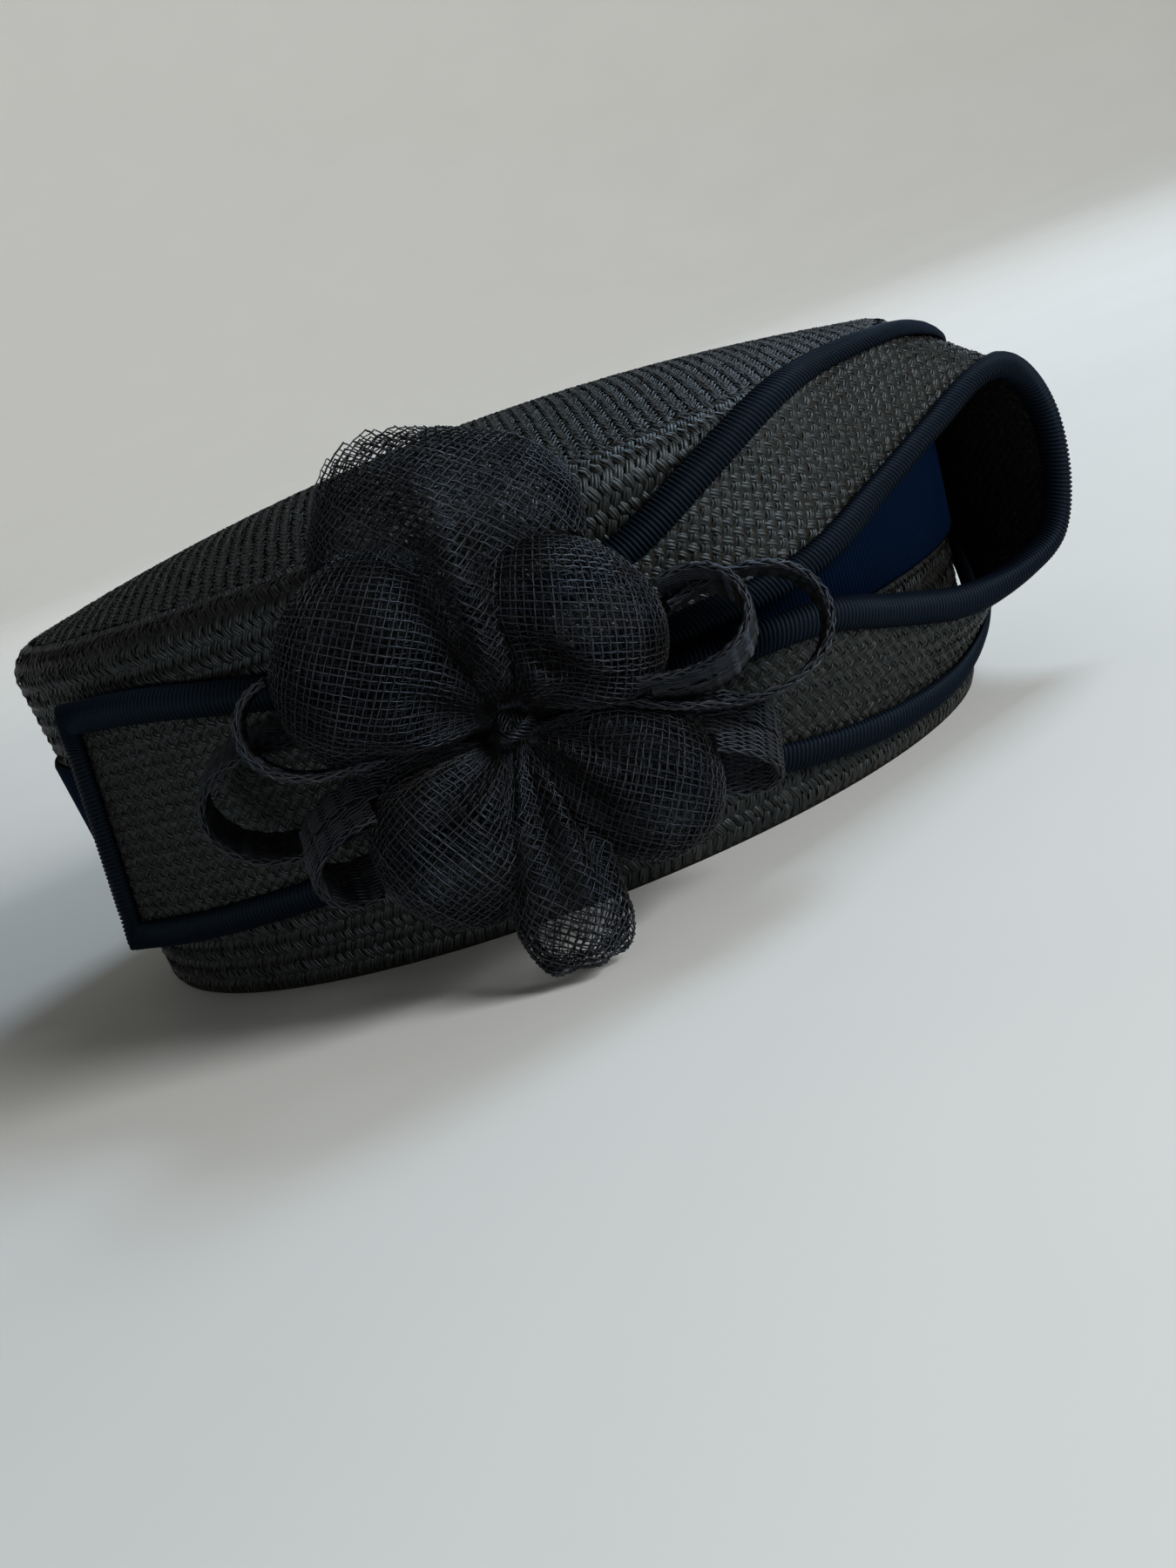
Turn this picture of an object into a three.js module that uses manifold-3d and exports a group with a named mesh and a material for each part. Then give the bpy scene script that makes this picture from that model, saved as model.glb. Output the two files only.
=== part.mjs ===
// Pillbox hat of black woven straw, with a bound straw bow and a gauze flower.
// Millimetres, +Z up, rim on z = 0, the wearer's front towards +X. The shapes are worked out
// about the crown's axis, and the finished hat is then centred on its own footprint.
import * as THREE from 'three';
import { mergeVertices } from 'three/addons/utils/BufferGeometryUtils.js';
import Module from 'manifold-3d';

const wasm = await Module();
wasm.setup();

// Driving sizes

const GAP = 0.4; // air kept between neighbouring pieces

const CROWN = {
  rimLong: 98.5, // half length of the rim
  rimWide: 85, // half width of the rim
  rimShift: 1.5, // the rim is this much shorter in front and longer behind
  topLong: 105.9, // half length at the shoulder
  topWide: 91.2, // half width at the shoulder
  shoulderZ: 74.5,
  shoulderR: 7,
  dome: 9.8, // rise of the top above the shoulder
  wall: 2,
};

const BAND = { low: 33.5, high: 55.5, thick: 1 };

const STRAW = 1; // thickness of the bow's straw strip
const BINDING = {
  reach: 4.6, // how far the ribbon covers the strip from its edge
  fold: 1.2, // the fold stands this far outside the edge
  half: 1.7, // height of the ribbon's middle above the strip's middle
  thick: 0.8,
  nose: 0.45, // height of the fold's flat nose, as a share of half
};

// Tail of the bow, a row per section from the knot to the free end.
// turn: bearing round the crown in degrees, stand: distance of the strip's middle from the crown.
const TAIL = [
  { topTurn: -93, topZ: 56.5, topStand: 4.3, lowTurn: -93, lowZ: 23, lowStand: 2.9 },
  { topTurn: -106, topZ: 60, topStand: 4.2, lowTurn: -108, lowZ: 20.5, lowStand: 3 },
  { topTurn: -119, topZ: 64.5, topStand: 3.5, lowTurn: -123, lowZ: 19, lowStand: 3.6 },
  { topTurn: -132, topZ: 68, topStand: 3.3, lowTurn: -138, lowZ: 17.8, lowStand: 5.4 },
  { topTurn: -144.3, topZ: 68.8, topStand: 4.2, lowTurn: -151.5, lowZ: 17.4, lowStand: 8.5 },
];

// Loop of the bow, a row per section: out along the top, round the front and back below.
// seat: the edge that hugs the crown. mouth: the free edge, x and z in the mouth's upright plane.
// The mouth's plane starts at startX, and behind it the edge lies back along the crown.
const MOUTH = { startX: 52, startY: -87, slope: 0.8, seatedSlope: 0.13 };
const LOOP = [
  { seatTurn: -87, seatZ: 62, seatStand: 3.8, mouthX: 10, mouthZ: 45.8 },
  { seatTurn: -76, seatZ: 65, seatStand: 3, mouthX: 35, mouthZ: 44.8 },
  { seatTurn: -66, seatZ: 73, seatStand: 3.2, mouthX: 59.5, mouthZ: 46 },
  { seatTurn: -56, seatZ: 80, seatStand: 6.4, mouthX: 81, mouthZ: 53.3 },
  { seatTurn: -46, seatZ: 82, seatStand: 8.2, mouthX: 96.5, mouthZ: 59 },
  { seatTurn: -32, seatZ: 81, seatStand: 7.2, mouthX: 111.5, mouthZ: 63.8 },
  { seatTurn: -13, seatZ: 74, seatStand: 3.4, mouthX: 122, mouthZ: 61.5 },
  { seatTurn: 5, seatZ: 61, seatStand: 3.4, mouthX: 126, mouthZ: 51.5 },
  { seatTurn: 10, seatZ: 45, seatStand: 3.6, mouthX: 124.5, mouthZ: 37.5 },
  { seatTurn: 4, seatZ: 29, seatStand: 3.6, mouthX: 118.5, mouthZ: 27 },
  { seatTurn: -13, seatZ: 15.5, seatStand: 2.8, mouthX: 107.5, mouthZ: 24 },
  { seatTurn: -34, seatZ: 8, seatStand: 2.8, mouthX: 91, mouthZ: 25.6 },
  { seatTurn: -50, seatZ: 7.8, seatStand: 2.8, mouthX: 74, mouthZ: 31.8 },
  { seatTurn: -62, seatZ: 10.5, seatStand: 2.8, mouthX: 58.5, mouthZ: 38 },
  { seatTurn: -74, seatZ: 15, seatStand: 2.8, mouthX: 36, mouthZ: 39.5 },
  { seatTurn: -87, seatZ: 20, seatStand: 2.8, mouthX: 10, mouthZ: 40 },
];

// Flower, on the wearer's right side. face is the outer side of the pad that it is sewn to.
const FLOWER = { x: -4, z: 43, face: -98.8, padR: 13, padThick: 2.4, padSides: 12 };
const KNOT = { radius: 4.4, high: 8, sides: 10, rings: 5 };
const GAUZE = 1.2; // thickness of a gauze wall
const PETAL = {
  rows: 12,
  cols: 10,
  neck: 0.5, // share of the rows from the pinched end to the belly
  swell: 0.85, // power of the swelling, below 1 for a fuller neck
  start: 4.9, // reach of the pinched end
  seat: 6, // height of its middle line there
  pinchHalf: 2.5,
  pinchDeep: 3.2,
  openTurn: 118, // the wall's section runs this far to each side, in degrees
  openGrow: 8, // and this much further for each millimetre that a keep-out grows
  gather: 0.5, // height of the gathers that run out from the knot
  crestHalf: 5, // half width of a crest along a petal's middle
  crestFront: 0.7, // power that sets the crest's highest point, below 1 for nearer the knot
};

// turn: bearing seen from outside, 0 forward and 90 up. half and deep: half width and half depth
// at the belly. lift: height of the petal's middle line above the pad, at its tip. shut: how far
// the tip closes, 1 for a round tip and 0 for an open end. crest: height of a fold along its middle.
// A petal that names neither has a round tip and no fold.
const PETALS = [
  { name: 'upper_left', turn: 133.5, long: 45.5, half: 20.5, deep: 15, lift: 11, belly: 0.55 },
  { name: 'upper_right', turn: 43, long: 36, half: 20, deep: 15, lift: 11, belly: 0.45 },
  { name: 'lower_right', turn: -45, long: 40.5, half: 14.5, deep: 12, lift: 13, belly: 0.55 },
  { name: 'lower_left', turn: 225, long: 38.5, half: 17, deep: 14, lift: 12, belly: 0.54 },
  { name: 'top', turn: 89, long: 53.5, half: 25.5, deep: 13, lift: 4, belly: 0.62, crest: 6 },
  { name: 'bottom', turn: 266.5, long: 41, half: 10.5, deep: 7, lift: 26.5, belly: 0.78, shut: 0.5 },
];

// half: half height of the loop. tilt: how far its upper face leans towards the viewer's side.
// depth and tipDepth: height of the ribbon's middle above the pad, at its ends and at its bend.
const RIBBON = {
  rows: 20,
  thick: 1,
  start: 14, // reach of the ribbon's two ends
  gape: 0.1, // share of the drop's round left open between the ends
  gapeGrow: 0.05, // and this much less for each millimetre that a keep-out grows
  fullness: 0.77, // widest value of the drop's formula
};
const RIBBON_LOOPS = [
  { name: 'right_upper', turn: 8, long: 47, half: 9, wide: 15, tilt: -28, depth: 10, tipDepth: 11 },
  { name: 'left_upper', turn: 159, long: 49, half: 9.2, wide: 15, tilt: 8, depth: 10, tipDepth: 7 },
  { name: 'right_lower', turn: -27, long: 49, half: 5.5, wide: 16, tilt: 32, depth: 9, tipDepth: 5 },
  { name: 'left_lower', turn: 198, long: 46, half: 7.5, wide: 16, tilt: -20, depth: 10, tipDepth: 4 },
  { name: 'left_middle', turn: 178, long: 60, half: 11, wide: 15, tilt: -8, depth: 9, tipDepth: -8 },
  { name: 'right_middle', turn: -0.5, long: 60.5, half: 11.5, wide: 14, tilt: -14, depth: 9, tipDepth: 4 },
];

// Finishes

const FINISH = {
  straw: { color: 0x16150f, roughness: 0.5, metalness: 0 },
  ribbon: { color: 0x0b1020, roughness: 0.65, metalness: 0 },
  gauze: { color: 0x0d0e12, roughness: 0.55, metalness: 0 },
};

// Small helpers

const lerp = THREE.MathUtils.lerp;
const radians = THREE.MathUtils.degToRad;
const STEP = 1e-3; // share of a curve over which its direction is taken
const WELD = 1e-4; // points closer than this are one

function volumeOf(points, faces) {
  let sum = 0;
  for (const [a, b, c] of faces) {
    sum += points[a].dot(new THREE.Vector3().crossVectors(points[b], points[c]));
  }
  return sum / 6;
}

function meshFrom(points, faces) {
  const geometry = new THREE.BufferGeometry().setFromPoints(points);
  geometry.setIndex(faces.flat());
  const merged = mergeVertices(geometry, WELD);
  const index = merged.getIndex().array;
  const kept = [];
  for (let i = 0; i < index.length; i += 3) {
    const [a, b, c] = index.slice(i, i + 3);
    if (a !== b && b !== c && c !== a) kept.push(a, b, c);
  }
  merged.setIndex(kept);
  return merged;
}

// A closed wall between two grids of points. A looped wall joins its last row to its first.
function wallBetween(rows, cols, outerAt, innerAt, looped = false) {
  const count = looped ? rows : rows + 1;
  const points = [];
  for (const side of [outerAt, innerAt]) {
    for (let i = 0; i < count; i += 1) {
      for (let j = 0; j <= cols; j += 1) points.push(side(i / rows, j / cols));
    }
  }
  const at = (side, i, j) => (side * count + (i % count)) * (cols + 1) + j;
  const faces = [];
  const quad = (a, b, c, d) => faces.push([a, b, c], [a, c, d]);
  for (let i = 0; i < rows; i += 1) {
    for (let j = 0; j < cols; j += 1) {
      quad(at(0, i, j), at(0, i + 1, j), at(0, i + 1, j + 1), at(0, i, j + 1));
      quad(at(1, i, j), at(1, i, j + 1), at(1, i + 1, j + 1), at(1, i + 1, j));
    }
    quad(at(0, i, 0), at(1, i, 0), at(1, i + 1, 0), at(0, i + 1, 0));
    quad(at(0, i, cols), at(0, i + 1, cols), at(1, i + 1, cols), at(1, i, cols));
  }
  if (!looped) {
    for (let j = 0; j < cols; j += 1) {
      quad(at(0, 0, j), at(0, 0, j + 1), at(1, 0, j + 1), at(1, 0, j));
      quad(at(0, rows, j), at(1, rows, j), at(1, rows, j + 1), at(0, rows, j + 1));
    }
  }
  if (volumeOf(points, faces) < 0) faces.forEach((face) => face.reverse());
  return meshFrom(points, faces);
}

function solidOf(geometry) {
  const plain = geometry.clone();
  plain.deleteAttribute('normal');
  plain.deleteAttribute('uv');
  const merged = mergeVertices(plain, WELD);
  return new wasm.Manifold(new wasm.Mesh({
    numProp: 3,
    vertProperties: new Float32Array(merged.getAttribute('position').array),
    triVerts: new Uint32Array(merged.getIndex().array),
  }));
}

function geometryOf(solid) {
  const mesh = solid.getMesh();
  const geometry = new THREE.BufferGeometry();
  geometry.setAttribute('position', new THREE.BufferAttribute(new Float32Array(mesh.vertProperties), 3));
  geometry.setIndex(new THREE.BufferAttribute(new Uint32Array(mesh.triVerts), 1));
  return geometry;
}

// Cuts each keep-out from a solid and keeps the largest piece that is left.
function cutClear(solid, keepOuts) {
  const left = keepOuts.reduce((body, keepOut) => body.subtract(keepOut), solid).decompose();
  return left.sort((a, b) => b.volume() - a.volume())[0];
}

// Crown

// Point on the crown's outside, stand millimetres off it, at a bearing round the crown.
function onCrown(turn, z, stand) {
  const angle = radians(turn);
  const up = Math.min(Math.max(z, 0), CROWN.shoulderZ) / CROWN.shoulderZ;
  const over = Math.min(Math.max(z - CROWN.shoulderZ, 0), CROWN.shoulderR);
  const tuck = CROWN.shoulderR - Math.sqrt(CROWN.shoulderR ** 2 - over ** 2);
  const long = lerp(CROWN.rimLong - CROWN.rimShift * Math.cos(angle), CROWN.topLong, up) - tuck;
  const wide = lerp(CROWN.rimWide, CROWN.topWide, up) - tuck;
  const out = new THREE.Vector2(Math.cos(angle) / long, Math.sin(angle) / wide).normalize();
  return new THREE.Vector3(
    long * Math.cos(angle) + stand * out.x,
    wide * Math.sin(angle) + stand * out.y,
    z,
  );
}

const WALL_HEIGHTS = [0, 0.25, 0.5, 0.75, 1]; // shares of the shoulder's height
const SHOULDER_TURNS = [30, 60, 90];
const DOME_SHARES = [0.82, 0.58, 0.3, 0]; // shares of the top's radius

// Profile of the crown from rim to middle: height, distance off the side's line, and plan scale.
function crownProfile(inset) {
  const wall = WALL_HEIGHTS.map((share) => ({ z: share * CROWN.shoulderZ, stand: -inset, scale: 1 }));
  const round = CROWN.shoulderR - inset;
  const shoulder = SHOULDER_TURNS.map((turn) => ({
    z: CROWN.shoulderZ + round * Math.sin(radians(turn)),
    stand: round * Math.cos(radians(turn)) - CROWN.shoulderR,
    scale: 1,
  }));
  const dome = DOME_SHARES.map((scale) => ({
    z: CROWN.shoulderZ + round + CROWN.dome * (1 - scale ** 2),
    stand: -CROWN.shoulderR,
    scale,
  }));
  return [...wall, ...shoulder, ...dome];
}

function makeCrown() {
  const turns = 48;
  const outer = crownProfile(0);
  const inner = crownProfile(CROWN.wall);
  const pointOn = (profile) => (around, up) => {
    const row = profile[Math.round(up * (profile.length - 1))];
    const point = onCrown(360 * around, Math.min(row.z, CROWN.shoulderZ), row.stand);
    return new THREE.Vector3(point.x * row.scale, point.y * row.scale, row.z);
  };
  return wallBetween(turns, outer.length - 1, pointOn(outer), pointOn(inner), true);
}

// The ribbon round the crown, joined out of sight under the bow.
function makeCrownRibbon() {
  const turns = 60;
  const side = (stand) => (around, up) => onCrown(360 * around, lerp(BAND.low, BAND.high, up), stand);
  return wallBetween(turns, 1, side(GAP + BAND.thick), side(GAP), true);
}

// Bound straw strips

// A strip ruled between two edge curves, with the tools to offset it and bind its edges.
function ruledStrip(lowEdge, highEdge) {
  const point = (along, across) => lowEdge.getPoint(along).lerp(highEdge.getPoint(along), across);
  const slope = (along, across, da, dc) => {
    const ahead = point(Math.min(1, along + da), Math.min(1, across + dc));
    return ahead.sub(point(Math.max(0, along - da), Math.max(0, across - dc))).normalize();
  };
  const lengthwise = (along, across) => slope(along, across, STEP, 0);
  const crosswise = (along, across) => slope(along, across, 0, STEP);
  const normal = (along, across) =>
    new THREE.Vector3().crossVectors(lengthwise(along, across), crosswise(along, across)).normalize();
  const offset = (along, across, height) =>
    point(along, across).addScaledVector(normal(along, across), height);
  return { point, lengthwise, crosswise, normal, offset };
}

// The strip's columns meet the inner edges of its bindings, so that both bend alike.
function stripWall(strip, rows) {
  const cols = 4;
  const side = (height) => (along, step) => {
    const bound = BINDING.reach / strip.point(along, 0).distanceTo(strip.point(along, 1));
    const across = [0, bound, 0.5, 1 - bound, 1][Math.round(cols * step)];
    return strip.offset(along, across, height);
  };
  return wallBetween(rows, cols, side(STRAW / 2), side(-STRAW / 2));
}

// Section of a ribbon folded over an edge: inward distance from the edge, and height off the strip.
const FOLD_PATH = [
  { inward: BINDING.reach, height: 1 },
  { inward: 0, height: 1 },
  { inward: -BINDING.fold, height: BINDING.nose },
  { inward: -BINDING.fold, height: -BINDING.nose },
  { inward: 0, height: -1 },
  { inward: BINDING.reach, height: -1 },
];

// stations: places along the edge, each with its point, its inward direction and its normal.
function foldedBinding(stations) {
  const side = (sign) => (along, round) => {
    const station = stations[Math.round(along * (stations.length - 1))];
    const fold = FOLD_PATH[Math.round(round * (FOLD_PATH.length - 1))];
    const half = BINDING.thick / 2;
    const inward = fold.inward - (fold.inward < 0 ? sign * half : 0);
    const height = fold.height * (BINDING.half + sign * half);
    return station.point.clone()
      .addScaledVector(station.inward, inward)
      .addScaledVector(station.normal, height);
  };
  return wallBetween(stations.length - 1, FOLD_PATH.length - 1, side(1), side(-1));
}

const curveThrough = (points) => new THREE.CatmullRomCurve3(points, false, 'centripetal');

const tailStrip = ruledStrip(
  curveThrough(TAIL.map((row) => onCrown(row.lowTurn, row.lowZ, row.lowStand))),
  curveThrough(TAIL.map((row) => onCrown(row.topTurn, row.topZ, row.topStand))),
);

function mouthPoint(x, z) {
  const planeY = MOUTH.startY + MOUTH.slope * (x - MOUTH.startX);
  const seatedY = MOUTH.startY - MOUTH.seatedSlope * (MOUTH.startX - x);
  return new THREE.Vector3(x, x < MOUTH.startX ? seatedY : planeY, z);
}

const loopStrip = ruledStrip(
  curveThrough(LOOP.map((row) => onCrown(row.seatTurn, row.seatZ, row.seatStand))),
  curveThrough(LOOP.map((row) => mouthPoint(row.mouthX, row.mouthZ))),
);

// Stations along one edge of a strip, across = 0 or 1.
function edgeStations(strip, across, count, from = 0, to = 1) {
  return Array.from({ length: count + 1 }, (_, i) => {
    const along = lerp(from, to, i / count);
    const inward = strip.crosswise(along, across).multiplyScalar(across === 1 ? -1 : 1);
    return { point: strip.point(along, across), inward, normal: strip.normal(along, across) };
  });
}

const TAIL_STEPS = 9;
const LOOP_STEPS = 34;

// The tail's binding runs along its top, down its end and back along its foot, with mitred corners.
function tailStations() {
  const endSteps = 3;
  const top = edgeStations(tailStrip, 1, TAIL_STEPS);
  const foot = edgeStations(tailStrip, 0, TAIL_STEPS, 1, 0);
  const back = (across) => tailStrip.lengthwise(1, across).multiplyScalar(-1);
  const end = Array.from({ length: endSteps - 1 }, (_, i) => {
    const across = 1 - (i + 1) / endSteps;
    return { point: tailStrip.point(1, across), inward: back(across), normal: tailStrip.normal(1, across) };
  });
  top[top.length - 1].inward.add(back(1));
  foot[0].inward.add(back(0));
  return [...top, ...end, ...foot];
}

// Flower

// Point in the flower's own axes: reach along a bearing, side across it, height off the pad.
function onFlower(turn, reach, side, height) {
  const angle = radians(turn);
  return new THREE.Vector3(
    FLOWER.x + reach * Math.cos(angle) - side * Math.sin(angle),
    FLOWER.face - height,
    FLOWER.z + reach * Math.sin(angle) + side * Math.cos(angle),
  );
}

// A petal swells from its pinch at the knot to its belly, then closes as far as its shut says.
// grow moves the whole wall outwards, and a negative one gives the inside.
function petalPoint(petal, row, col, grow) {
  const { shut = 1, crest = 0 } = petal;
  const inNeck = row <= PETAL.neck;
  const neckShare = Math.min(1, row / PETAL.neck);
  const tipTurn = (Math.PI / 2) * ((row - PETAL.neck) / (1 - PETAL.neck));
  const share = inNeck
    ? petal.belly * neckShare
    : petal.belly + (1 - petal.belly) * Math.sin(tipTurn);
  const swell = Math.sin((Math.PI / 2) * neckShare) ** PETAL.swell;
  const close = inNeck ? 1 : lerp(1, Math.cos(tipTurn), shut);
  const turned = Math.round(col * PETAL.cols) % 2 ? -1 : 1;
  const gather = turned * PETAL.gather * Math.sin(Math.PI * neckShare);
  const half = close * (lerp(PETAL.pinchHalf, petal.half, swell) + gather + grow);
  const deep = close * (lerp(PETAL.pinchDeep, petal.deep, swell) + gather + grow);
  const start = PETAL.start - Math.max(0, grow);
  const reach = start + (petal.long + grow - start) * share;
  const open = radians(PETAL.openTurn + PETAL.openGrow * Math.max(0, grow));
  const turn = lerp(-open, open, col);
  const middle = lerp(PETAL.seat, petal.lift, share);
  const side = half * Math.sin(turn);
  const fade = Math.exp(-((side / PETAL.crestHalf) ** 2));
  const fold = crest * Math.sin(Math.PI * share ** PETAL.crestFront) * fade;
  return onFlower(petal.turn, reach, side, middle + deep * Math.cos(turn) + fold);
}

function petalWall(petal) {
  const side = (grow) => (row, col) => petalPoint(petal, row, col, grow);
  return wallBetween(PETAL.rows, PETAL.cols, side(0), side(-GAUZE));
}

// The whole space that a petal takes up, its hollow too, with a gap all round.
function petalKeepOut(petal) {
  const outer = (row, col) => petalPoint(petal, row, col, GAP);
  const chord = (row, col) => outer(row, 0).lerp(outer(row, 1), col);
  return solidOf(wallBetween(PETAL.rows, PETAL.cols, outer, chord));
}

// A ribbon bent into a drop-shaped loop, its two ends side by side under the petals.
function ribbonWall(loop, grow) {
  const path = (along) => {
    const gape = RIBBON.gape - RIBBON.gapeGrow * grow;
    const beta = 2 * Math.PI * lerp(gape, 1 - gape, along);
    return new THREE.Vector2(
      lerp(RIBBON.start, loop.long, (1 - Math.cos(beta)) / 2),
      (loop.half / RIBBON.fullness) * Math.sin(beta) * Math.sin(beta / 2),
    );
  };
  const tilt = radians(loop.tilt);
  const side = (sign) => (along, across) => {
    const run = path(Math.min(1, along + STEP)).sub(path(Math.max(0, along - STEP))).normalize();
    const half = sign * (RIBBON.thick / 2 + grow);
    const spot = path(along).add(new THREE.Vector2(run.y, -run.x).multiplyScalar(half));
    const width = (across - 0.5) * (loop.wide + 2 * grow);
    return onFlower(
      loop.turn,
      spot.x,
      spot.y * Math.cos(tilt) - width * Math.sin(tilt),
      lerp(loop.depth, loop.tipDepth, spot.x / loop.long) + spot.y * Math.sin(tilt) + width * Math.cos(tilt),
    );
  };
  return wallBetween(RIBBON.rows, 1, side(1), side(-1));
}

function makePad() {
  const pad = new THREE.CylinderGeometry(FLOWER.padR, FLOWER.padR, FLOWER.padThick, FLOWER.padSides);
  return pad.translate(FLOWER.x, FLOWER.face + FLOWER.padThick / 2, FLOWER.z);
}

function makeKnot() {
  const knot = new THREE.SphereGeometry(KNOT.radius, KNOT.sides, KNOT.rings);
  knot.scale(1, KNOT.high / KNOT.radius, 1);
  return knot.translate(FLOWER.x, FLOWER.face - KNOT.high - GAP, FLOWER.z);
}

// Assembly

const hat = new THREE.Group();

function place(name, geometry, finish) {
  const mesh = new THREE.Mesh(geometry, new THREE.MeshStandardMaterial(FINISH[finish]));
  mesh.name = name;
  hat.add(mesh);
}

place('crown', makeCrown(), 'straw');
place('crown_ribbon', makeCrownRibbon(), 'ribbon');

place('tail_strip', stripWall(tailStrip, TAIL_STEPS), 'straw');
place('tail_binding', foldedBinding(tailStations()), 'ribbon');

place('loop_strip', stripWall(loopStrip, LOOP_STEPS), 'straw');
place('loop_binding_seat', foldedBinding(edgeStations(loopStrip, 0, LOOP_STEPS)), 'ribbon');
place('loop_binding_mouth', foldedBinding(edgeStations(loopStrip, 1, LOOP_STEPS)), 'ribbon');

place('flower_base', makePad(), 'gauze');
place('flower_knot', makeKnot(), 'gauze');

// Petals and ribbon loops make way for those that lie over them, in the order of their tables.
const taken = [];
for (const petal of PETALS) {
  place(`petal_${petal.name}`, geometryOf(cutClear(solidOf(petalWall(petal)), taken)), 'gauze');
  taken.push(petalKeepOut(petal));
}
for (const loop of RIBBON_LOOPS) {
  place(`ribbon_loop_${loop.name}`, geometryOf(cutClear(solidOf(ribbonWall(loop, 0)), taken)), 'gauze');
  taken.push(solidOf(ribbonWall(loop, GAP)));
}

const extent = new THREE.Box3().setFromObject(hat);
const middle = extent.getCenter(new THREE.Vector3());
hat.position.set(-middle.x, -middle.y, -extent.min.z);

export default hat;
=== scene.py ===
"""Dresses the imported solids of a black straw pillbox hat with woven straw, ribbon and gauze.

Shapes are worked out in millimetres about the crown's axis, with the sizes of the part's source,
and are placed in the frame's metres. Rows of straw, ribs of ribbon and strands of gauze are grown
by node trees, and each grown piece is then kept as a plain mesh.
"""
import math
from collections import namedtuple

import bpy
import numpy as np
from bpy.props import FloatProperty, FloatVectorProperty, IntProperty, PointerProperty
from mathutils import Matrix, Vector


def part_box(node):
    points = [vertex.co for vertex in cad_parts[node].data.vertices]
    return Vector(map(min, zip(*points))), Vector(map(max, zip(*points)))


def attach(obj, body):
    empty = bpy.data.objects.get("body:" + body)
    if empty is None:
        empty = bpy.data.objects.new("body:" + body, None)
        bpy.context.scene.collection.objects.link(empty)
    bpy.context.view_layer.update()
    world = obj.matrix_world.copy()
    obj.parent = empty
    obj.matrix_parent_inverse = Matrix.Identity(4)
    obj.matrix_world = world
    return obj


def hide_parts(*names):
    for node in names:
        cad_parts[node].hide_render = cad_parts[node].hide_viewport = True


bl_info = {
    "name": "Straw pillbox hat",
    "version": (1, 0, 0),
    "blender": (4, 5, 0),
    "location": "3D View > Sidebar > Hat",
    "description": "Dresses a pillbox hat with woven straw, a bound bow and a gauze flower",
    "category": "Object",
}

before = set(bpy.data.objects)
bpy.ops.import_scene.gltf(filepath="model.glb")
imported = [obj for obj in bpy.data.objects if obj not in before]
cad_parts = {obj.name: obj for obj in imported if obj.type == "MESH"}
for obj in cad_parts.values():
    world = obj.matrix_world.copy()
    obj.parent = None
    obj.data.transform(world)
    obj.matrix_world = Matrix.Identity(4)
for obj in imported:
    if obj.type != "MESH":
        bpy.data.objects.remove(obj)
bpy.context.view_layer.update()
MM = 0.001

CROWN_LOW, CROWN_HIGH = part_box("crown")
HAT_AXIS = np.array([(CROWN_LOW.x + CROWN_HIGH.x) / 2, (CROWN_LOW.y + CROWN_HIGH.y) / 2, 0.0])

# Sizes of the part, in millimetres, with its turns in degrees

RIM_LONG = 98.5
RIM_WIDE = 85.0
RIM_SHIFT = 1.5
TOP_LONG = 105.9
TOP_WIDE = 91.2
SHOULDER_Z = 74.5
SHOULDER_R = 7.0
DOME = 9.8
CROWN_WALL = 2.0

BAND_LOW = 33.5
BAND_HIGH = 55.5
BAND_STAND = 0.4
BAND_THICK = 1.0

TailRow = namedtuple("TailRow", "top_turn top_z top_stand low_turn low_z low_stand")
TAIL = [
    TailRow(-93, 56.5, 4.3, -93, 23, 2.9),
    TailRow(-106, 60, 4.2, -108, 20.5, 3),
    TailRow(-119, 64.5, 3.5, -123, 19, 3.6),
    TailRow(-132, 68, 3.3, -138, 17.8, 5.4),
    TailRow(-144.3, 68.8, 4.2, -151.5, 17.4, 8.5),
]

MOUTH_X = 52.0
MOUTH_Y = -87.0
MOUTH_SLOPE = 0.8
MOUTH_SEATED_SLOPE = 0.13
LoopRow = namedtuple("LoopRow", "seat_turn seat_z seat_stand mouth_x mouth_z")
LOOP = [
    LoopRow(-87, 62, 3.8, 10, 45.8),
    LoopRow(-76, 65, 3, 35, 44.8),
    LoopRow(-66, 73, 3.2, 59.5, 46),
    LoopRow(-56, 80, 6.4, 81, 53.3),
    LoopRow(-46, 82, 8.2, 96.5, 59),
    LoopRow(-32, 81, 7.2, 111.5, 63.8),
    LoopRow(-13, 74, 3.4, 122, 61.5),
    LoopRow(5, 61, 3.4, 126, 51.5),
    LoopRow(10, 45, 3.6, 124.5, 37.5),
    LoopRow(4, 29, 3.6, 118.5, 27),
    LoopRow(-13, 15.5, 2.8, 107.5, 24),
    LoopRow(-34, 8, 2.8, 91, 25.6),
    LoopRow(-50, 7.8, 2.8, 74, 31.8),
    LoopRow(-62, 10.5, 2.8, 58.5, 38),
    LoopRow(-74, 15, 2.8, 36, 39.5),
    LoopRow(-87, 20, 2.8, 10, 40),
]

FLOWER_X = -4.0
FLOWER_Z = 43.0
FLOWER_FACE = -98.8
PAD_R = 13.0
PAD_THICK = 2.4
KNOT_R = 4.4
KNOT_HIGH = 8.0
GAP = 0.3

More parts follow.
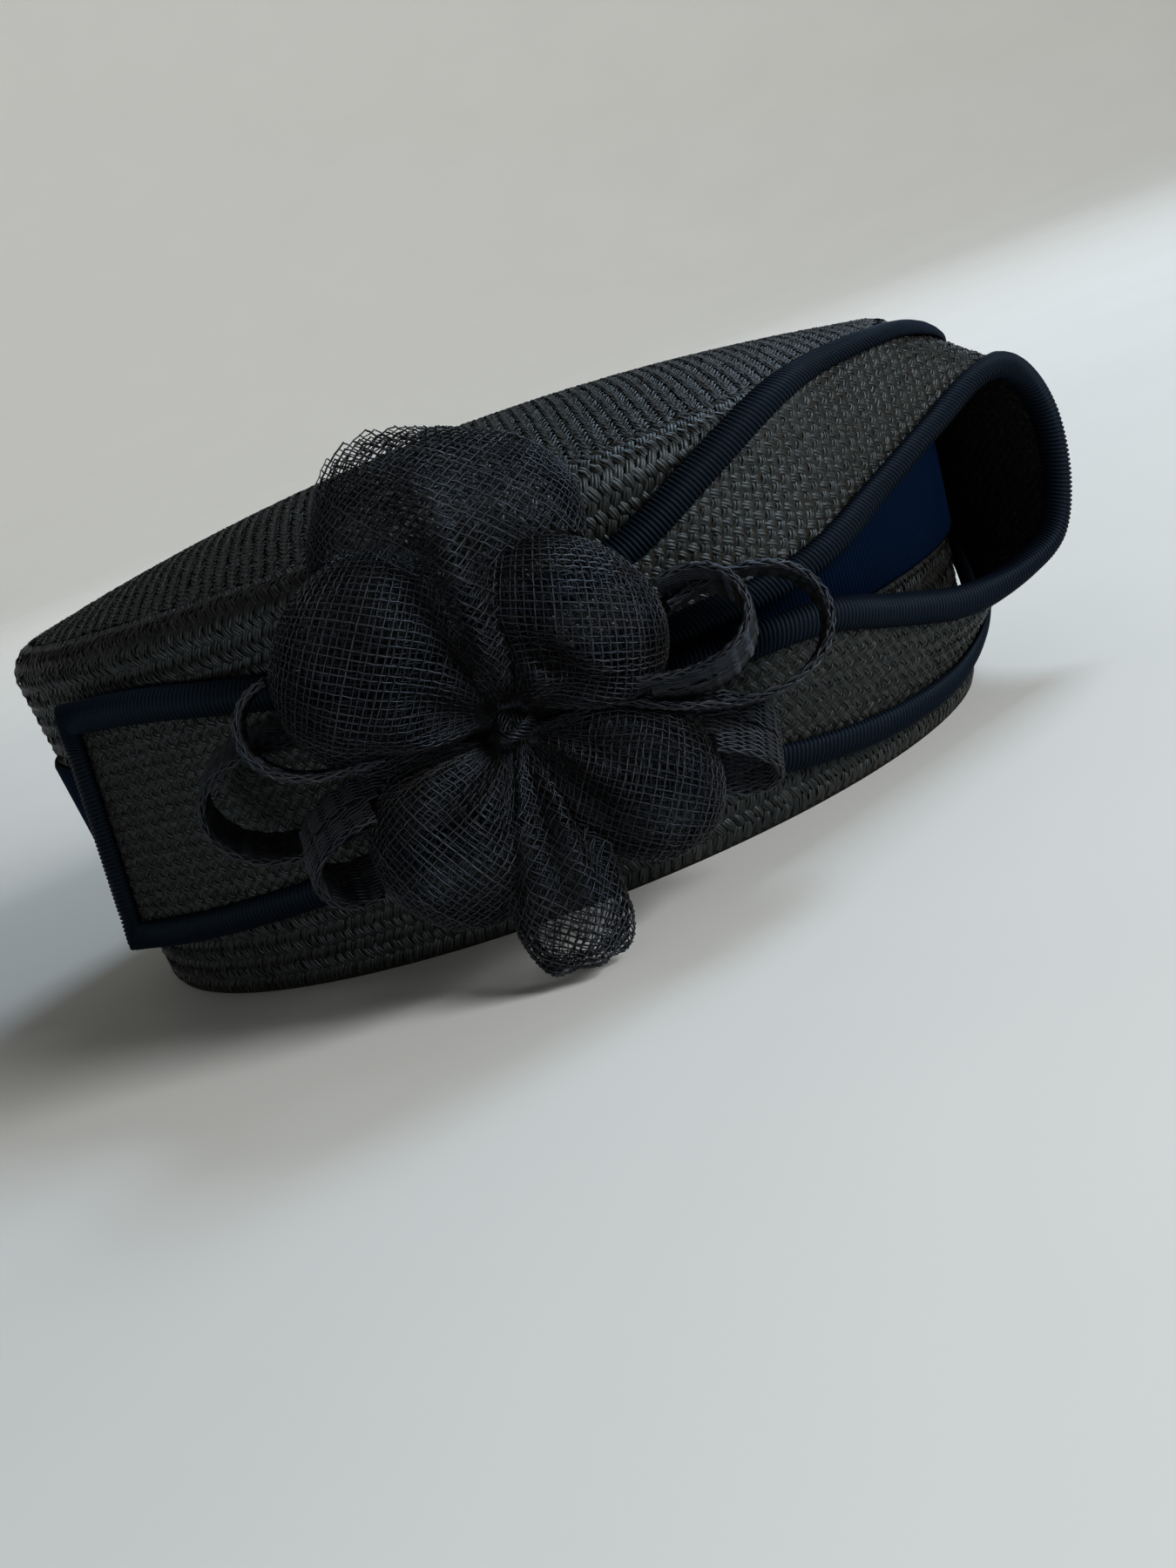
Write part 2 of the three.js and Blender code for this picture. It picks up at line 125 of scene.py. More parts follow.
PETAL_START = 4.9
PETAL_SEAT = 6.0
PINCH_HALF = 2.5
PINCH_DEEP = 3.2
SWELL = 0.85
Petal = namedtuple("Petal", "name turn long half deep lift belly shut crest dent tip lay lip")
PETALS = [
    Petal("upper_left", 133.5, 45.5, 20.5, 15, 11, 0.55, 1, 0, 0, 112, 14, 0),
    Petal("upper_right", 43, 36, 20, 15, 11, 0.45, 1, 0, 8, 112, 28, 0),
    Petal("lower_right", -45, 40.5, 14.5, 12, 13, 0.55, 1, 0, 0, 112, 12, 0),
    Petal("lower_left", 225, 38.5, 17, 14, 12, 0.54, 1, 0, 0, 112, -16, 0),
    Petal("top", 89, 53.5, 25.5, 13, 4, 0.62, 1, 9, 0, 98, 36, 0.6),
    Petal("bottom", 266.5, 41, 10.5, 7, 26.5, 0.78, 0.5, 0, 0, 90, 45, 0),
]

RIBBON_START = 14.0
RIBBON_THICK = 1.0
RIBBON_GAPE = 0.1
RIBBON_FULLNESS = 0.77
RibbonLoop = namedtuple("RibbonLoop", "name turn long half wide tilt depth tip_depth")
RIBBON_LOOPS = [
    RibbonLoop("right_upper", 8, 47, 9, 15, -28, 10, 11),
    RibbonLoop("left_upper", 159, 49, 9.2, 15, 8, 10, 7),
    RibbonLoop("right_lower", -27, 49, 5.5, 16, 32, 9, 5),
    RibbonLoop("left_lower", 198, 46, 7.5, 16, -20, 10, 4),
    RibbonLoop("left_middle", 178, 60, 11, 15, -8, 9, -8),
    RibbonLoop("right_middle", -0.5, 60.5, 11.5, 14, -14, 9, 4),
]


# Settings that a user would change


def plain_setting(name, description, default, **more):
    """A number."""
    return FloatProperty(name=name, description=description, default=default, **more)


def length_setting(name, description, millimetres):
    """A length, given here in millimetres."""
    return FloatProperty(name=name, description=description, default=millimetres * MM, unit="LENGTH")


def angle_setting(name, description, degrees):
    """An angle, given here in degrees."""
    return FloatProperty(name=name, description=description, default=math.radians(degrees), subtype="ANGLE")


def colour_setting(name, description, *default):
    """A colour."""
    return FloatVectorProperty(name=name, description=description, default=default, subtype="COLOR", size=3)


class StrawSettings(bpy.types.PropertyGroup):
    """Weave and colour of the straw."""

    strand: length_setting("Strand", "Width of one woven strand, a bundle of three straws", 2.05)
    cover: plain_setting("Cover", "Share of a strand's width that its straws fill", 0.94, subtype="FACTOR")
    tuck: plain_setting("Tuck", "Length of a float against the gap that it spans", 1.2)
    rise: length_setting("Rise", "Height of a float's middle above the strand that it crosses", 0.3)
    crown_slant: angle_setting("Crown slant", "Lean of the strands to their rows on the crown's side", 64)
    bias_slant: angle_setting("Bias slant", "The same lean on the crown's top and on the bow", 47)
    wander: angle_setting("Wander", "Largest stray turn of a float", 7)
    roll: angle_setting("Roll", "Largest stray roll of a straw about its own length", 10)
    seed: IntProperty(name="Seed", description="Seed of the stray turns", default=7)
    deep: colour_setting("Deep", "Darkest colour of the straw", 0.004, 0.004, 0.0035)
    pale: colour_setting("Pale", "Lightest colour of the straw", 0.027, 0.0265, 0.0225)


class RibbonSettings(bpy.types.PropertyGroup):
    """Ribs and colours of the crown's ribbon and of the bow's bindings."""

    rib_pitch: length_setting("Rib pitch", "From one rib of a ribbon to the next", 0.95)
    rib_height: length_setting("Rib height", "Height of the bindings' ribs", 0.58)
    band_rib_height: length_setting("Band rib height", "Height of the flat ribs of the crown's ribbon", 0.26)
    # The deep colours are painted into the grooves between the ribs as shade, the pale ones onto the crests.
    band_deep: colour_setting("Band deep", "Darkest navy of the crown's ribbon", 0.0002, 0.0013, 0.0055)
    band_pale: colour_setting("Band pale", "Lightest navy of the crown's ribbon", 0.001, 0.009, 0.0295)
    binding_deep: colour_setting("Binding deep", "Darkest navy of the bindings", 0.0005, 0.0008, 0.0018)
    binding_pale: colour_setting("Binding pale", "Lightest navy of the bindings", 0.0085, 0.0145, 0.0265)


class GauzeSettings(bpy.types.PropertyGroup):
    """Mesh and colour of the flower's gauze."""

    cell: length_setting("Cell", "From one strand of a petal's gauze to the next", 1.45)
    strand_radius: length_setting("Strand radius", "Half the thickness of a plain strand", 0.145)
    crimp: length_setting("Crimp", "How far a strand rises over the one that it crosses", 0.17)
    layer_gap: length_setting("Layer gap", "From one layer of a petal to the next", 0.9)
    pleat: length_setting("Pleat", "Height of the pleats that run out from the knot", 2.3)
    seed: IntProperty(name="Seed", description="Seed of the uneven strands", default=3)
    deep: colour_setting("Deep", "Darkest colour of the gauze", 0.0015, 0.0017, 0.0021)
    pale: colour_setting("Pale", "Lightest colour of the gauze", 0.034, 0.0312, 0.029)


class StageSettings(bpy.types.PropertyGroup):
    """Camera, lights and floor."""

    lens: plain_setting("Lens", "Focal length of the camera", 48.0, unit="CAMERA")
    window: plain_setting("Window", "Power of the large light in front on the right", 14.5, unit="POWER")
    sky: plain_setting("Sky", "Power of the cool light behind on the right", 9.0, unit="POWER")
    fill: plain_setting("Fill", "Power of the low light in front on the left", 1.5, unit="POWER")
    backdrop: plain_setting("Backdrop", "Power of the light on the sweep behind", 22.0, unit="POWER")
    room: plain_setting("Room", "Strength of the light from all round", 0.1)
    floor_colour: colour_setting("Floor", "Colour of the floor and its sweep", 0.77, 0.78, 0.755)


# Small helpers


def unit(vectors):
    """Vectors of length one."""
    return vectors / np.maximum(np.linalg.norm(vectors, axis=-1, keepdims=True), 1e-12)


def lerp(start, end, share):
    """Straight blend from start to end."""
    return start + (end - start) * share


def placed(points):
    """Millimetres about the crown's axis as metres in the frame."""
    return np.asarray(points, float) * MM + HAT_AXIS


def normals(skin, u, v, step=0.05):
    """Normals of a skin, a function of two coordinates, at those places."""
    along = skin(u + step, v) - skin(u - step, v)
    across = skin(u, v + step) - skin(u, v - step)
    return unit(np.cross(along, across))


def through(points, shares):
    """Points at shares of a centripetal Catmull-Rom curve through some points."""
    points = np.asarray(points, float)
    ends = np.vstack([2 * points[0] - points[1], points, 2 * points[-1] - points[-2]])
    place = np.clip(shares, 0, 1) * (len(points) - 1)
    first = np.minimum(place.astype(int), len(points) - 2)
    t = (place - first)[..., None]
    p0, p1, p2, p3 = (ends[first + k] for k in range(4))
    spans = ((p0, p1), (p1, p2), (p2, p3))
    d0, d1, d2 = (np.sqrt(np.linalg.norm(b - a, axis=-1, keepdims=True)) for a, b in spans)
    leave = d1 * ((p1 - p0) / d0 - (p2 - p0) / (d0 + d1) + (p2 - p1) / d1)
    reach = d1 * ((p2 - p1) / d1 - (p3 - p1) / (d1 + d2) + (p3 - p2) / d2)
    square = -3 * p1 + 3 * p2 - 2 * leave - reach
    cube = 2 * p1 - 2 * p2 + leave + reach
    return p1 + leave * t + square * t**2 + cube * t**3


def measured(points):
    """Distance along a line of points, from its first one."""
    return np.concatenate([[0.0], np.cumsum(np.linalg.norm(np.diff(points, axis=0), axis=1))])


def read_along(run, table, places):
    """A table of vectors, read at places along its run."""
    return np.stack([np.interp(places, run, table[:, k]) for k in range(table.shape[1])], -1)


def runs_of(mask, shortest):
    """First and last places of each stretch that a mask keeps."""
    edges = np.flatnonzero(np.diff(np.concatenate([[0], mask.astype(int), [0]])))
    return [(a, b) for a, b in edges.reshape(-1, 2) if b - a >= shortest]


# Meshes


def line_mesh(lines):
    """A mesh of polylines. A line is a dict of points, closed, and a value for each attribute."""
    edges = []
    start = 0
    for line in lines:
        run = np.arange(start, start + len(line["points"]))
        edges.append(np.stack([run[:-1], run[1:]], 1))
        if line.get("closed"):
            edges.append(np.array([[run[-1], run[0]]]))
        start += len(run)
    edges = np.concatenate(edges)
    mesh = bpy.data.meshes.new("lines")
    mesh.vertices.add(start)
    mesh.edges.add(len(edges))
    points = np.concatenate([line["points"] for line in lines])
    mesh.vertices.foreach_set("co", placed(points).ravel())
    mesh.edges.foreach_set("vertices", edges.ravel().astype(np.int32))
    for key in lines[0]:
        if key in ("points", "closed"):
            continue
        kind, field, size = ("FLOAT_VECTOR", "vector", (3,)) if key == "out" else ("FLOAT", "value", ())
        values = [np.broadcast_to(line[key], (len(line["points"]), *size)) for line in lines]
        attribute = mesh.attributes.new(key, kind, "POINT")
        attribute.data.foreach_set(field, np.concatenate(values).astype(np.float32).ravel())
    mesh.update()
    return mesh


def skin_mesh(name, rings, looped, attributes=None):
    """A closed skin over rings of points, in order. Ends that don't meet are capped."""
    count, around = rings.shape[:2]
    i = np.arange(count if looped else count - 1)[:, None]
    j = np.arange(around)[None, :]
    ahead = (i + 1) % count
    beside = (j + 1) % around
    quads = np.stack([i * around + j, ahead * around + j, ahead * around + beside, i * around + beside], -1)
    faces = quads.reshape(-1, 4).tolist()
    if not looped:
        faces.append(list(range(around)))
        faces.append(list(range(count * around - 1, (count - 1) * around - 1, -1)))
    mesh = bpy.data.meshes.new(name)
    mesh.from_pydata(placed(rings.reshape(-1, 3)), [], faces)
    if signed_volume(mesh) < 0:
        mesh.flip_normals()
    for key, values in (attributes or {}).items():
        attribute = mesh.attributes.new(key, "FLOAT", "POINT")
        attribute.data.foreach_set("value", np.asarray(values, np.float32).ravel())
    mesh.shade_smooth()
    mesh.update()
    return mesh


def signed_volume(mesh):
    """Volume that a closed mesh holds, below zero where it is inside out."""
    mesh.calc_loop_triangles()
    corners = np.zeros(len(mesh.loop_triangles) * 3, np.int32)
    mesh.loop_triangles.foreach_get("vertices", corners)
    points = np.zeros(len(mesh.vertices) * 3)
    mesh.vertices.foreach_get("co", points)
    a, b, c = points.reshape(-1, 3)[corners].reshape(-1, 3, 3).transpose(1, 0, 2)
    return float((a * np.cross(b, c)).sum() / 6)


def add_object(name, mesh, material=None):
    """A new object at the origin."""
    piece = bpy.data.objects.new(name, mesh)
    bpy.context.scene.collection.objects.link(piece)
    if material:
        mesh.materials.clear()
        mesh.materials.append(material)
    return piece


ROW_ATTRIBUTES = ("out", "side", "over", "girth", "along", "face")


def grown(name, mesh, tree, values):
    """Runs a node tree on a mesh and keeps the result as a plain mesh object."""
    source = add_object(name + "_source", mesh)
    modifier = source.modifiers.new("Grow", "NODES")
    modifier.node_group = tree
    for item in tree.interface.items_tree:
        if item.item_type == "SOCKET" and item.in_out == "INPUT" and item.name in values:
            modifier[item.identifier] = values[item.name]
    graph = bpy.context.evaluated_depsgraph_get()
    made = bpy.data.meshes.new_from_object(
        source.evaluated_get(graph), preserve_all_data_layers=True, depsgraph=graph)
    source.modifiers.remove(modifier)
    bpy.data.objects.remove(source)
    made.name = name
    for key in ROW_ATTRIBUTES:
        if key in made.attributes:
            made.attributes.remove(made.attributes[key])
    made.polygons.foreach_set("material_index", np.zeros(len(made.polygons), np.int32))
    return add_object(name, made, values["Material"])


def kept(piece, slot, *nodes):
    """Rides a piece on the hat and hides the solids that it stands for. Its slot, the name of its finish, is
    not used.
    """
    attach(piece, "root")
    if nodes:
        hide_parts(*nodes)
    return piece


# Node trees


def built(name, build):
    """A node group, built the first time that it is asked for."""
    return bpy.data.node_groups.get(name) or build(name)


def add_node(tree, kind, inputs=None, **settings):
    """Adds a node. An input is a value, a socket to link, or a node whose first output is linked."""
    node = tree.nodes.new(kind)
    for key, value in settings.items():
        setattr(node, key, value)
    for key, value in (inputs or {}).items():
        if isinstance(value, bpy.types.Node):
            value = value.outputs[0]
        if isinstance(value, bpy.types.NodeSocket):
            tree.links.new(value, node.inputs[key])
        else:
            node.inputs[key].default_value = value
    return node


def sum_up(tree, operation, a, b=0.0):
    """A math node's result."""
    return add_node(tree, "ShaderNodeMath", {0: a, 1: b}, operation=operation).outputs[0]


def vector_up(tree, operation, a, b):
    """A vector math node's result, where b is a number for a scale and else a vector."""
    key = "Scale" if operation == "SCALE" else 1
    return add_node(tree, "ShaderNodeVectorMath", {0: a, key: b}, operation=operation).outputs[0]


def attribute_of(tree, name, kind="FLOAT"):
    """A named attribute's value, in a geometry tree."""
    return add_node(tree, "GeometryNodeInputNamedAttribute", {"Name": name}, data_type=kind).outputs[0]


def stored(tree, geometry, name, value, kind, domain):
    """A geometry that carries a value under a name."""
    return add_node(
        tree, "GeometryNodeStoreNamedAttribute", {"Geometry": geometry, "Name": name, "Value": value},
        data_type=kind, domain=domain)


def random_between(tree, low, high, seed):
    """A random number for each element."""
    inputs = {2: low, 3: high, "Seed": seed}
    return add_node(tree, "FunctionNodeRandomValue", inputs, data_type="FLOAT").outputs[1]


def add_sockets(tree, way, kinds):
    """A group's sockets on its way in or out, by name and kind."""
    for name, kind in kinds.items():
        tree.interface.new_socket(name, in_out=way, socket_type="NodeSocket" + kind)


def new_tree(name, sizes):
    """A geometry tree with a geometry, some sizes and a material as inputs."""
    tree = bpy.data.node_groups.new(name, "GeometryNodeTree")
    add_sockets(tree, "INPUT", {"Geometry": "Geometry", **sizes, "Material": "Material"})
    add_sockets(tree, "OUTPUT", {"Geometry": "Geometry"})
    return tree, tree.nodes.new("NodeGroupInput").outputs


def end_tree(tree, geometry, material):
    """Ends a geometry tree: smooth faces, no instances left, one material."""
    smooth = add_node(tree, "GeometryNodeSetShadeSmooth", {"Geometry": geometry})
    real = add_node(tree, "GeometryNodeRealizeInstances", {"Geometry": smooth})
    dressed = add_node(tree, "GeometryNodeSetMaterial", {"Geometry": real, "Material": material})
    add_node(tree, "NodeGroupOutput", {0: dressed})
    return tree


def float_shape(tree, given):
    """One straw of a float: flat across, high in its middle and low at its ends."""
    ends_drop = 1.6
    grid = add_node(tree, "GeometryNodeMeshGrid", {
        "Size X": given["Length"], "Size Y": given["Width"], "Vertices X": 3, "Vertices Y": 2})
    spot = add_node(tree, "ShaderNodeSeparateXYZ", {0: add_node(tree, "GeometryNodeInputPosition")})
    along = sum_up(tree, "DIVIDE", spot.outputs["X"], sum_up(tree, "MULTIPLY", given["Length"], 0.5))
    ends = sum_up(tree, "MULTIPLY", sum_up(tree, "MULTIPLY", along, along), ends_drop)
    height = sum_up(tree, "MULTIPLY", sum_up(tree, "SUBTRACT", 1.0, ends), given["Rise"])
    lift = add_node(tree, "ShaderNodeCombineXYZ", {"Z": height})
    raised = add_node(tree, "GeometryNodeSetPosition", {"Geometry": grid, "Offset": lift})
    return stored(tree, raised, "fibre", grid.outputs["UV Map"], "FLOAT2", "CORNER")


# Places of a float's straws across it, and how many seeds each straw has to itself.
STRAW_PLACES = (-1, 0, 1)
STRAW_SEEDS = 10


def straw_tree(name):
    """Floats of three straws at the points of rows, each row leaning the way that its side says."""
    outer_roll = 0.16
    outer_drop = 0.05 * MM
    slide = 0.14 * MM
    tree, given = new_tree(name, {
        "Length": "Float", "Width": "Float", "Rise": "Float", "Slant": "Float", "Wander": "Float",
        "Roll": "Float", "Seed": "Int"})
    row = add_node(tree, "GeometryNodeMeshToCurve", {"Mesh": given["Geometry"]})
    shape = float_shape(tree, given)
    bundle = add_node(tree, "GeometryNodeJoinGeometry")
    out = attribute_of(tree, "out", "FLOAT_VECTOR")
    ahead = add_node(tree, "GeometryNodeInputTangent")
    stray = sum_up(tree, "MULTIPLY", given["Wander"], random_between(tree, -1.0, 1.0, given["Seed"]))
    angle = sum_up(tree, "ADD", given["Slant"], stray)
    lean = sum_up(tree, "MULTIPLY", sum_up(tree, "SINE", angle), attribute_of(tree, "side"))
    forward = vector_up(tree, "SCALE", ahead, sum_up(tree, "COSINE", angle))
    sideways = vector_up(tree, "SCALE", vector_up(tree, "CROSS_PRODUCT", out, ahead), lean)
    lay = vector_up(tree, "ADD", forward, sideways)
    for place in STRAW_PLACES:
        seed = STRAW_SEEDS * (place + 2)
        stray_roll = sum_up(tree, "MULTIPLY", given["Roll"], random_between(tree, -1.0, 1.0, seed + 1))
        rolled = sum_up(tree, "ADD", stray_roll, outer_roll * place)
        tipped = vector_up(tree, "SCALE", vector_up(tree, "CROSS_PRODUCT", out, lay), rolled)
        turn = add_node(
            tree, "FunctionNodeAxesToRotation", {0: vector_up(tree, "ADD", out, tipped), 1: lay},
            primary_axis="Z", secondary_axis="X")
        size = add_node(tree, "ShaderNodeCombineXYZ", {
            "X": random_between(tree, 0.9, 1.1, seed + 2), "Y": random_between(tree, 0.85, 1.1, seed + 3),
            "Z": random_between(tree, 0.7, 1.3, seed + 4)})
        laid = add_node(tree, "GeometryNodeInstanceOnPoints", {
            "Points": row, "Instance": shape, "Rotation": turn, "Scale": size})
        shift = add_node(tree, "ShaderNodeCombineXYZ", {
            "X": random_between(tree, -slide, slide, seed + 5),
            "Y": sum_up(tree, "MULTIPLY", given["Width"], float(place)), "Z": -outer_drop * abs(place)})
        beside = add_node(tree, "GeometryNodeTranslateInstances", {
            "Instances": laid, "Translation": shift, "Local Space": True})
        tint = random_between(tree, 0.0, 1.0, seed + 6)
        tinted = stored(tree, beside, "tint", tint, "FLOAT", "INSTANCE")
        tree.links.new(tinted.outputs[0], bundle.inputs[0])
    return end_tree(tree, bundle, given["Material"])


def strand_tree(name):
    """Round strands along polylines, rising and dipping where they cross."""
    tree, given = new_tree(name, {"Radius": "Float", "Crimp": "Float", "Sides": "Int"})
    rise = sum_up(tree, "MULTIPLY", attribute_of(tree, "over"), given["Crimp"])
    offset = vector_up(tree, "SCALE", attribute_of(tree, "out", "FLOAT_VECTOR"), rise)
    woven = add_node(tree, "GeometryNodeSetPosition", {"Geometry": given["Geometry"], "Offset": offset})
    curve = add_node(tree, "GeometryNodeMeshToCurve", {"Mesh": woven})
    circle = add_node(tree, "GeometryNodeCurvePrimitiveCircle", {
        "Resolution": given["Sides"], "Radius": given["Radius"]}, mode="RADIUS")
    tube = add_node(tree, "GeometryNodeCurveToMesh", {
        "Curve": curve, "Profile Curve": circle, "Scale": attribute_of(tree, "girth"), "Fill Caps": True})
    return end_tree(tree, tube, given["Material"])


def rib_tree(name):
    """Round ribs across a ribbon, by the distance along it that each of its points carries, with painted
    shade in the grooves between them.
    """
    groove_shade_power = 3.5
    tree, given = new_tree(name, {"Pitch": "Float", "Height": "Float"})
    phase = sum_up(tree, "DIVIDE", attribute_of(tree, "along"), given["Pitch"])
    wave = sum_up(tree, "ABSOLUTE", sum_up(tree, "SINE", sum_up(tree, "MULTIPLY", phase, math.pi)))
    full = sum_up(tree, "MULTIPLY", wave, given["Height"])
    height = sum_up(tree, "MULTIPLY", full, attribute_of(tree, "face"))
    offset = vector_up(tree, "SCALE", add_node(tree, "GeometryNodeInputNormal"), height)
    # Painted shade: the tint follows the rib wave, so the grooves are darkened in the colour and the crests
    # lightened.
    tint = sum_up(tree, "POWER", wave, groove_shade_power)
    shaded = stored(tree, given["Geometry"], "tint", tint, "FLOAT", "POINT")
    ribs = add_node(tree, "GeometryNodeSetPosition", {"Geometry": shaded, "Offset": offset})
    return end_tree(tree, ribs, given["Material"])


# Materials


def tone_group(name):
    """Shader group: a tone between two colours by a tint attribute, its fibres and a soft mottle. The tint
    is each thread's own random tone, darker on the gauze's under layers as painted shade, and on the ribbons
    painted shade in the grooves between the ribs.
    """
    mottle_detail = 3.0
    group = bpy.data.node_groups.new(name, "ShaderNodeTree")
    add_sockets(group, "INPUT", {
        "Deep": "Color", "Pale": "Color", "Fibre": "Float", "Mottle scale": "Float", "Tint share": "Float",
        "Fibre share": "Float", "Roughness low": "Float", "Roughness high": "Float"})
    add_sockets(group, "OUTPUT", {"Colour": "Color", "Roughness": "Float"})
    given = group.nodes.new("NodeGroupInput").outputs
    tint = add_node(group, "ShaderNodeAttribute", attribute_name="tint").outputs["Fac"]
    place = add_node(group, "ShaderNodeTexCoord").outputs["Object"]
    mottle = add_node(group, "ShaderNodeTexNoise", {
        "Vector": place, "Scale": given["Mottle scale"], "Detail": mottle_detail})
    own = sum_up(group, "MULTIPLY", tint, given["Tint share"])
    rest = sum_up(group, "MULTIPLY", mottle, sum_up(group, "SUBTRACT", 1.0, given["Tint share"]))
    streak = sum_up(group, "MULTIPLY", sum_up(group, "SUBTRACT", given["Fibre"], 0.5), given["Fibre share"])
    share = sum_up(group, "ADD", sum_up(group, "ADD", own, rest), streak)
    colour = add_node(
        group, "ShaderNodeMix", {0: share, 6: given["Deep"], 7: given["Pale"]}, data_type="RGBA")
    rough = add_node(group, "ShaderNodeMapRange", {
        "Value": mottle, "To Min": given["Roughness low"], "To Max": given["Roughness high"]})
    add_node(group, "NodeGroupOutput", {"Colour": colour.outputs[2], "Roughness": rough})
    return group


def grain_group(name):
    """Shader group: fine fibres along a thread, as a height for a bump."""
    group = bpy.data.node_groups.new(name, "ShaderNodeTree")
    add_sockets(group, "INPUT", {"Vector": "Vector", "Scale": "Float", "Detail": "Float"})
    add_sockets(group, "OUTPUT", {"Height": "Float"})
    given = group.nodes.new("NodeGroupInput").outputs
    noise = add_node(group, "ShaderNodeTexNoise", {key: given[key] for key in ("Vector", "Scale", "Detail")})
    add_node(group, "NodeGroupOutput", {"Height": noise})
    return group


# A finish: sizes of its mottle and grain, shares of tint and fibre, range of roughness, strength and depth
# of its bump in millimetres, its gloss, and the tint of its reflections, painted bluish to stand in for the
# cool sky light. Where fibre_map names a UV map, the grain is stretched along it and each straw is arched
# across.
Look = namedtuple(
    "Look", "mottle tint fibre rough grain bump depth specular glint fibre_map arch stretch",
    defaults=((1.0, 1.0, 1.0), "", 0.0, (1.0, 1.0, 1.0)))
GRAIN_DETAIL = 2.0
GRAIN_APART = (31.0, 17.0, 0.0)


def thread_material(name, deep, pale, look):
    """A material of threads, between two colours and with a look."""
    if name in bpy.data.materials:
        return bpy.data.materials[name]
    material = bpy.data.materials.new(name)
    material.use_nodes = True
    tree = material.node_tree
    shader = tree.nodes["Principled BSDF"]
    if look.fibre_map:
        spot = add_node(tree, "ShaderNodeUVMap", uv_map=look.fibre_map)
        tint = add_node(tree, "ShaderNodeAttribute", attribute_name="tint").outputs["Fac"]
        apart = vector_up(tree, "SCALE", GRAIN_APART, tint)
        place = vector_up(tree, "ADD", vector_up(tree, "MULTIPLY", spot, look.stretch), apart)
        across = add_node(tree, "ShaderNodeSeparateXYZ", {0: spot}).outputs["Y"]
        arch = sum_up(tree, "MULTIPLY", across, sum_up(tree, "SUBTRACT", 1.0, across))
    else:
        place = add_node(tree, "ShaderNodeTexCoord").outputs["Object"]
        arch = 0.0
    grain = add_node(tree, "ShaderNodeGroup", {
        "Vector": place, "Scale": look.grain, "Detail": GRAIN_DETAIL},
        node_tree=built("Fibre grain", grain_group))
    tone = add_node(tree, "ShaderNodeGroup", {
        "Deep": (*deep, 1.0), "Pale": (*pale, 1.0), "Mottle scale": look.mottle, "Tint share": look.tint,
        "Fibre": grain, "Fibre share": look.fibre, "Roughness low": look.rough[0],
        "Roughness high": look.rough[1]}, node_tree=built("Thread tone", tone_group))
    height = add_node(tree, "ShaderNodeMath", {0: arch, 1: look.arch, 2: grain}, operation="MULTIPLY_ADD")
    bump = add_node(tree, "ShaderNodeBump", {
        "Strength": look.bump, "Distance": look.depth * MM, "Height": height})
    tree.links.new(tone.outputs["Colour"], shader.inputs["Base Color"])
    tree.links.new(tone.outputs["Roughness"], shader.inputs["Roughness"])
    tree.links.new(bump.outputs[0], shader.inputs["Normal"])
    shader.inputs["Specular IOR Level"].default_value = look.specular
    # Painted reflection colour: the specular tint blues every reflection, standing in for the cool colour of
    # the sky light.
    shader.inputs["Specular Tint"].default_value = (*look.glint, 1.0)
    return material


def straw_material():
    """Black straw, glossy along its fibres."""
    straw = bpy.context.scene.hat_straw
    return thread_material("straw_floats", straw.deep, straw.pale, Look(
        mottle=60.0, tint=0.6, fibre=1.4, rough=(0.34, 0.5), grain=1.0, bump=0.7, depth=0.12,
        specular=0.42, glint=(0.72, 0.88, 1.0), fibre_map="fibre", arch=4.0, stretch=(0.9, 3.0, 1.0)))


def wall_material():
    """The shaded straw under the floats and inside the crown."""
    straw = bpy.context.scene.hat_straw
    return thread_material("straw_wall", straw.deep, straw.pale, Look(
        mottle=420.0, tint=0.0, fibre=0.5, rough=(0.5, 0.75), grain=620.0, bump=0.8, depth=0.5,
        specular=0.15))


def band_material():
    """Navy ribbon round the crown, its tone mostly painted shade in the grooves between its ribs."""
    ribbon = bpy.context.scene.hat_ribbon
    return thread_material("band_ribbon", ribbon.band_deep, ribbon.band_pale, Look(
        mottle=90.0, tint=0.85, fibre=0.4, rough=(0.6, 0.8), grain=2600.0, bump=0.3, depth=0.1,
        specular=0.07, glint=(0.35, 0.75, 1.0)))


def binding_material():
    """Very dark navy ribbed ribbon of the bindings, its tone mostly painted shade in the grooves between its
    ribs.
    """
    ribbon = bpy.context.scene.hat_ribbon
    return thread_material("binding_ribbon", ribbon.binding_deep, ribbon.binding_pale, Look(
        mottle=120.0, tint=0.9, fibre=0.3, rough=(0.5, 0.66), grain=2600.0, bump=0.3, depth=0.1,
        specular=0.16, glint=(0.6, 0.83, 1.0)))


def gauze_material():
    """Stiff black gauze strands."""
    gauze = bpy.context.scene.hat_gauze
    return thread_material("gauze_strands", gauze.deep, gauze.pale, Look(
        mottle=150.0, tint=0.7, fibre=0.4, rough=(0.38, 0.5), grain=3000.0, bump=0.25, depth=0.1,
        specular=0.46, glint=(0.55, 0.73, 1.0)))


def floor_material(colour):
    """The floor's plain pale cloth."""
    shade = 0.94
    material = bpy.data.materials.new("pale_floor")
    material.use_nodes = True
    tree = material.node_tree
    shader = tree.nodes["Principled BSDF"]
    place = add_node(tree, "ShaderNodeTexCoord").outputs["Object"]
    mottle = add_node(tree, "ShaderNodeTexNoise", {"Vector": place, "Scale": 9.0, "Detail": 4.0})
    shades = add_node(tree, "ShaderNodeMix", {
        0: mottle, 6: (*(shade * c for c in colour), 1.0), 7: (*colour, 1.0)}, data_type="RGBA")
    tree.links.new(shades.outputs[2], shader.inputs["Base Color"])
    shader.inputs["Roughness"].default_value = 0.9
    return material


# Crown

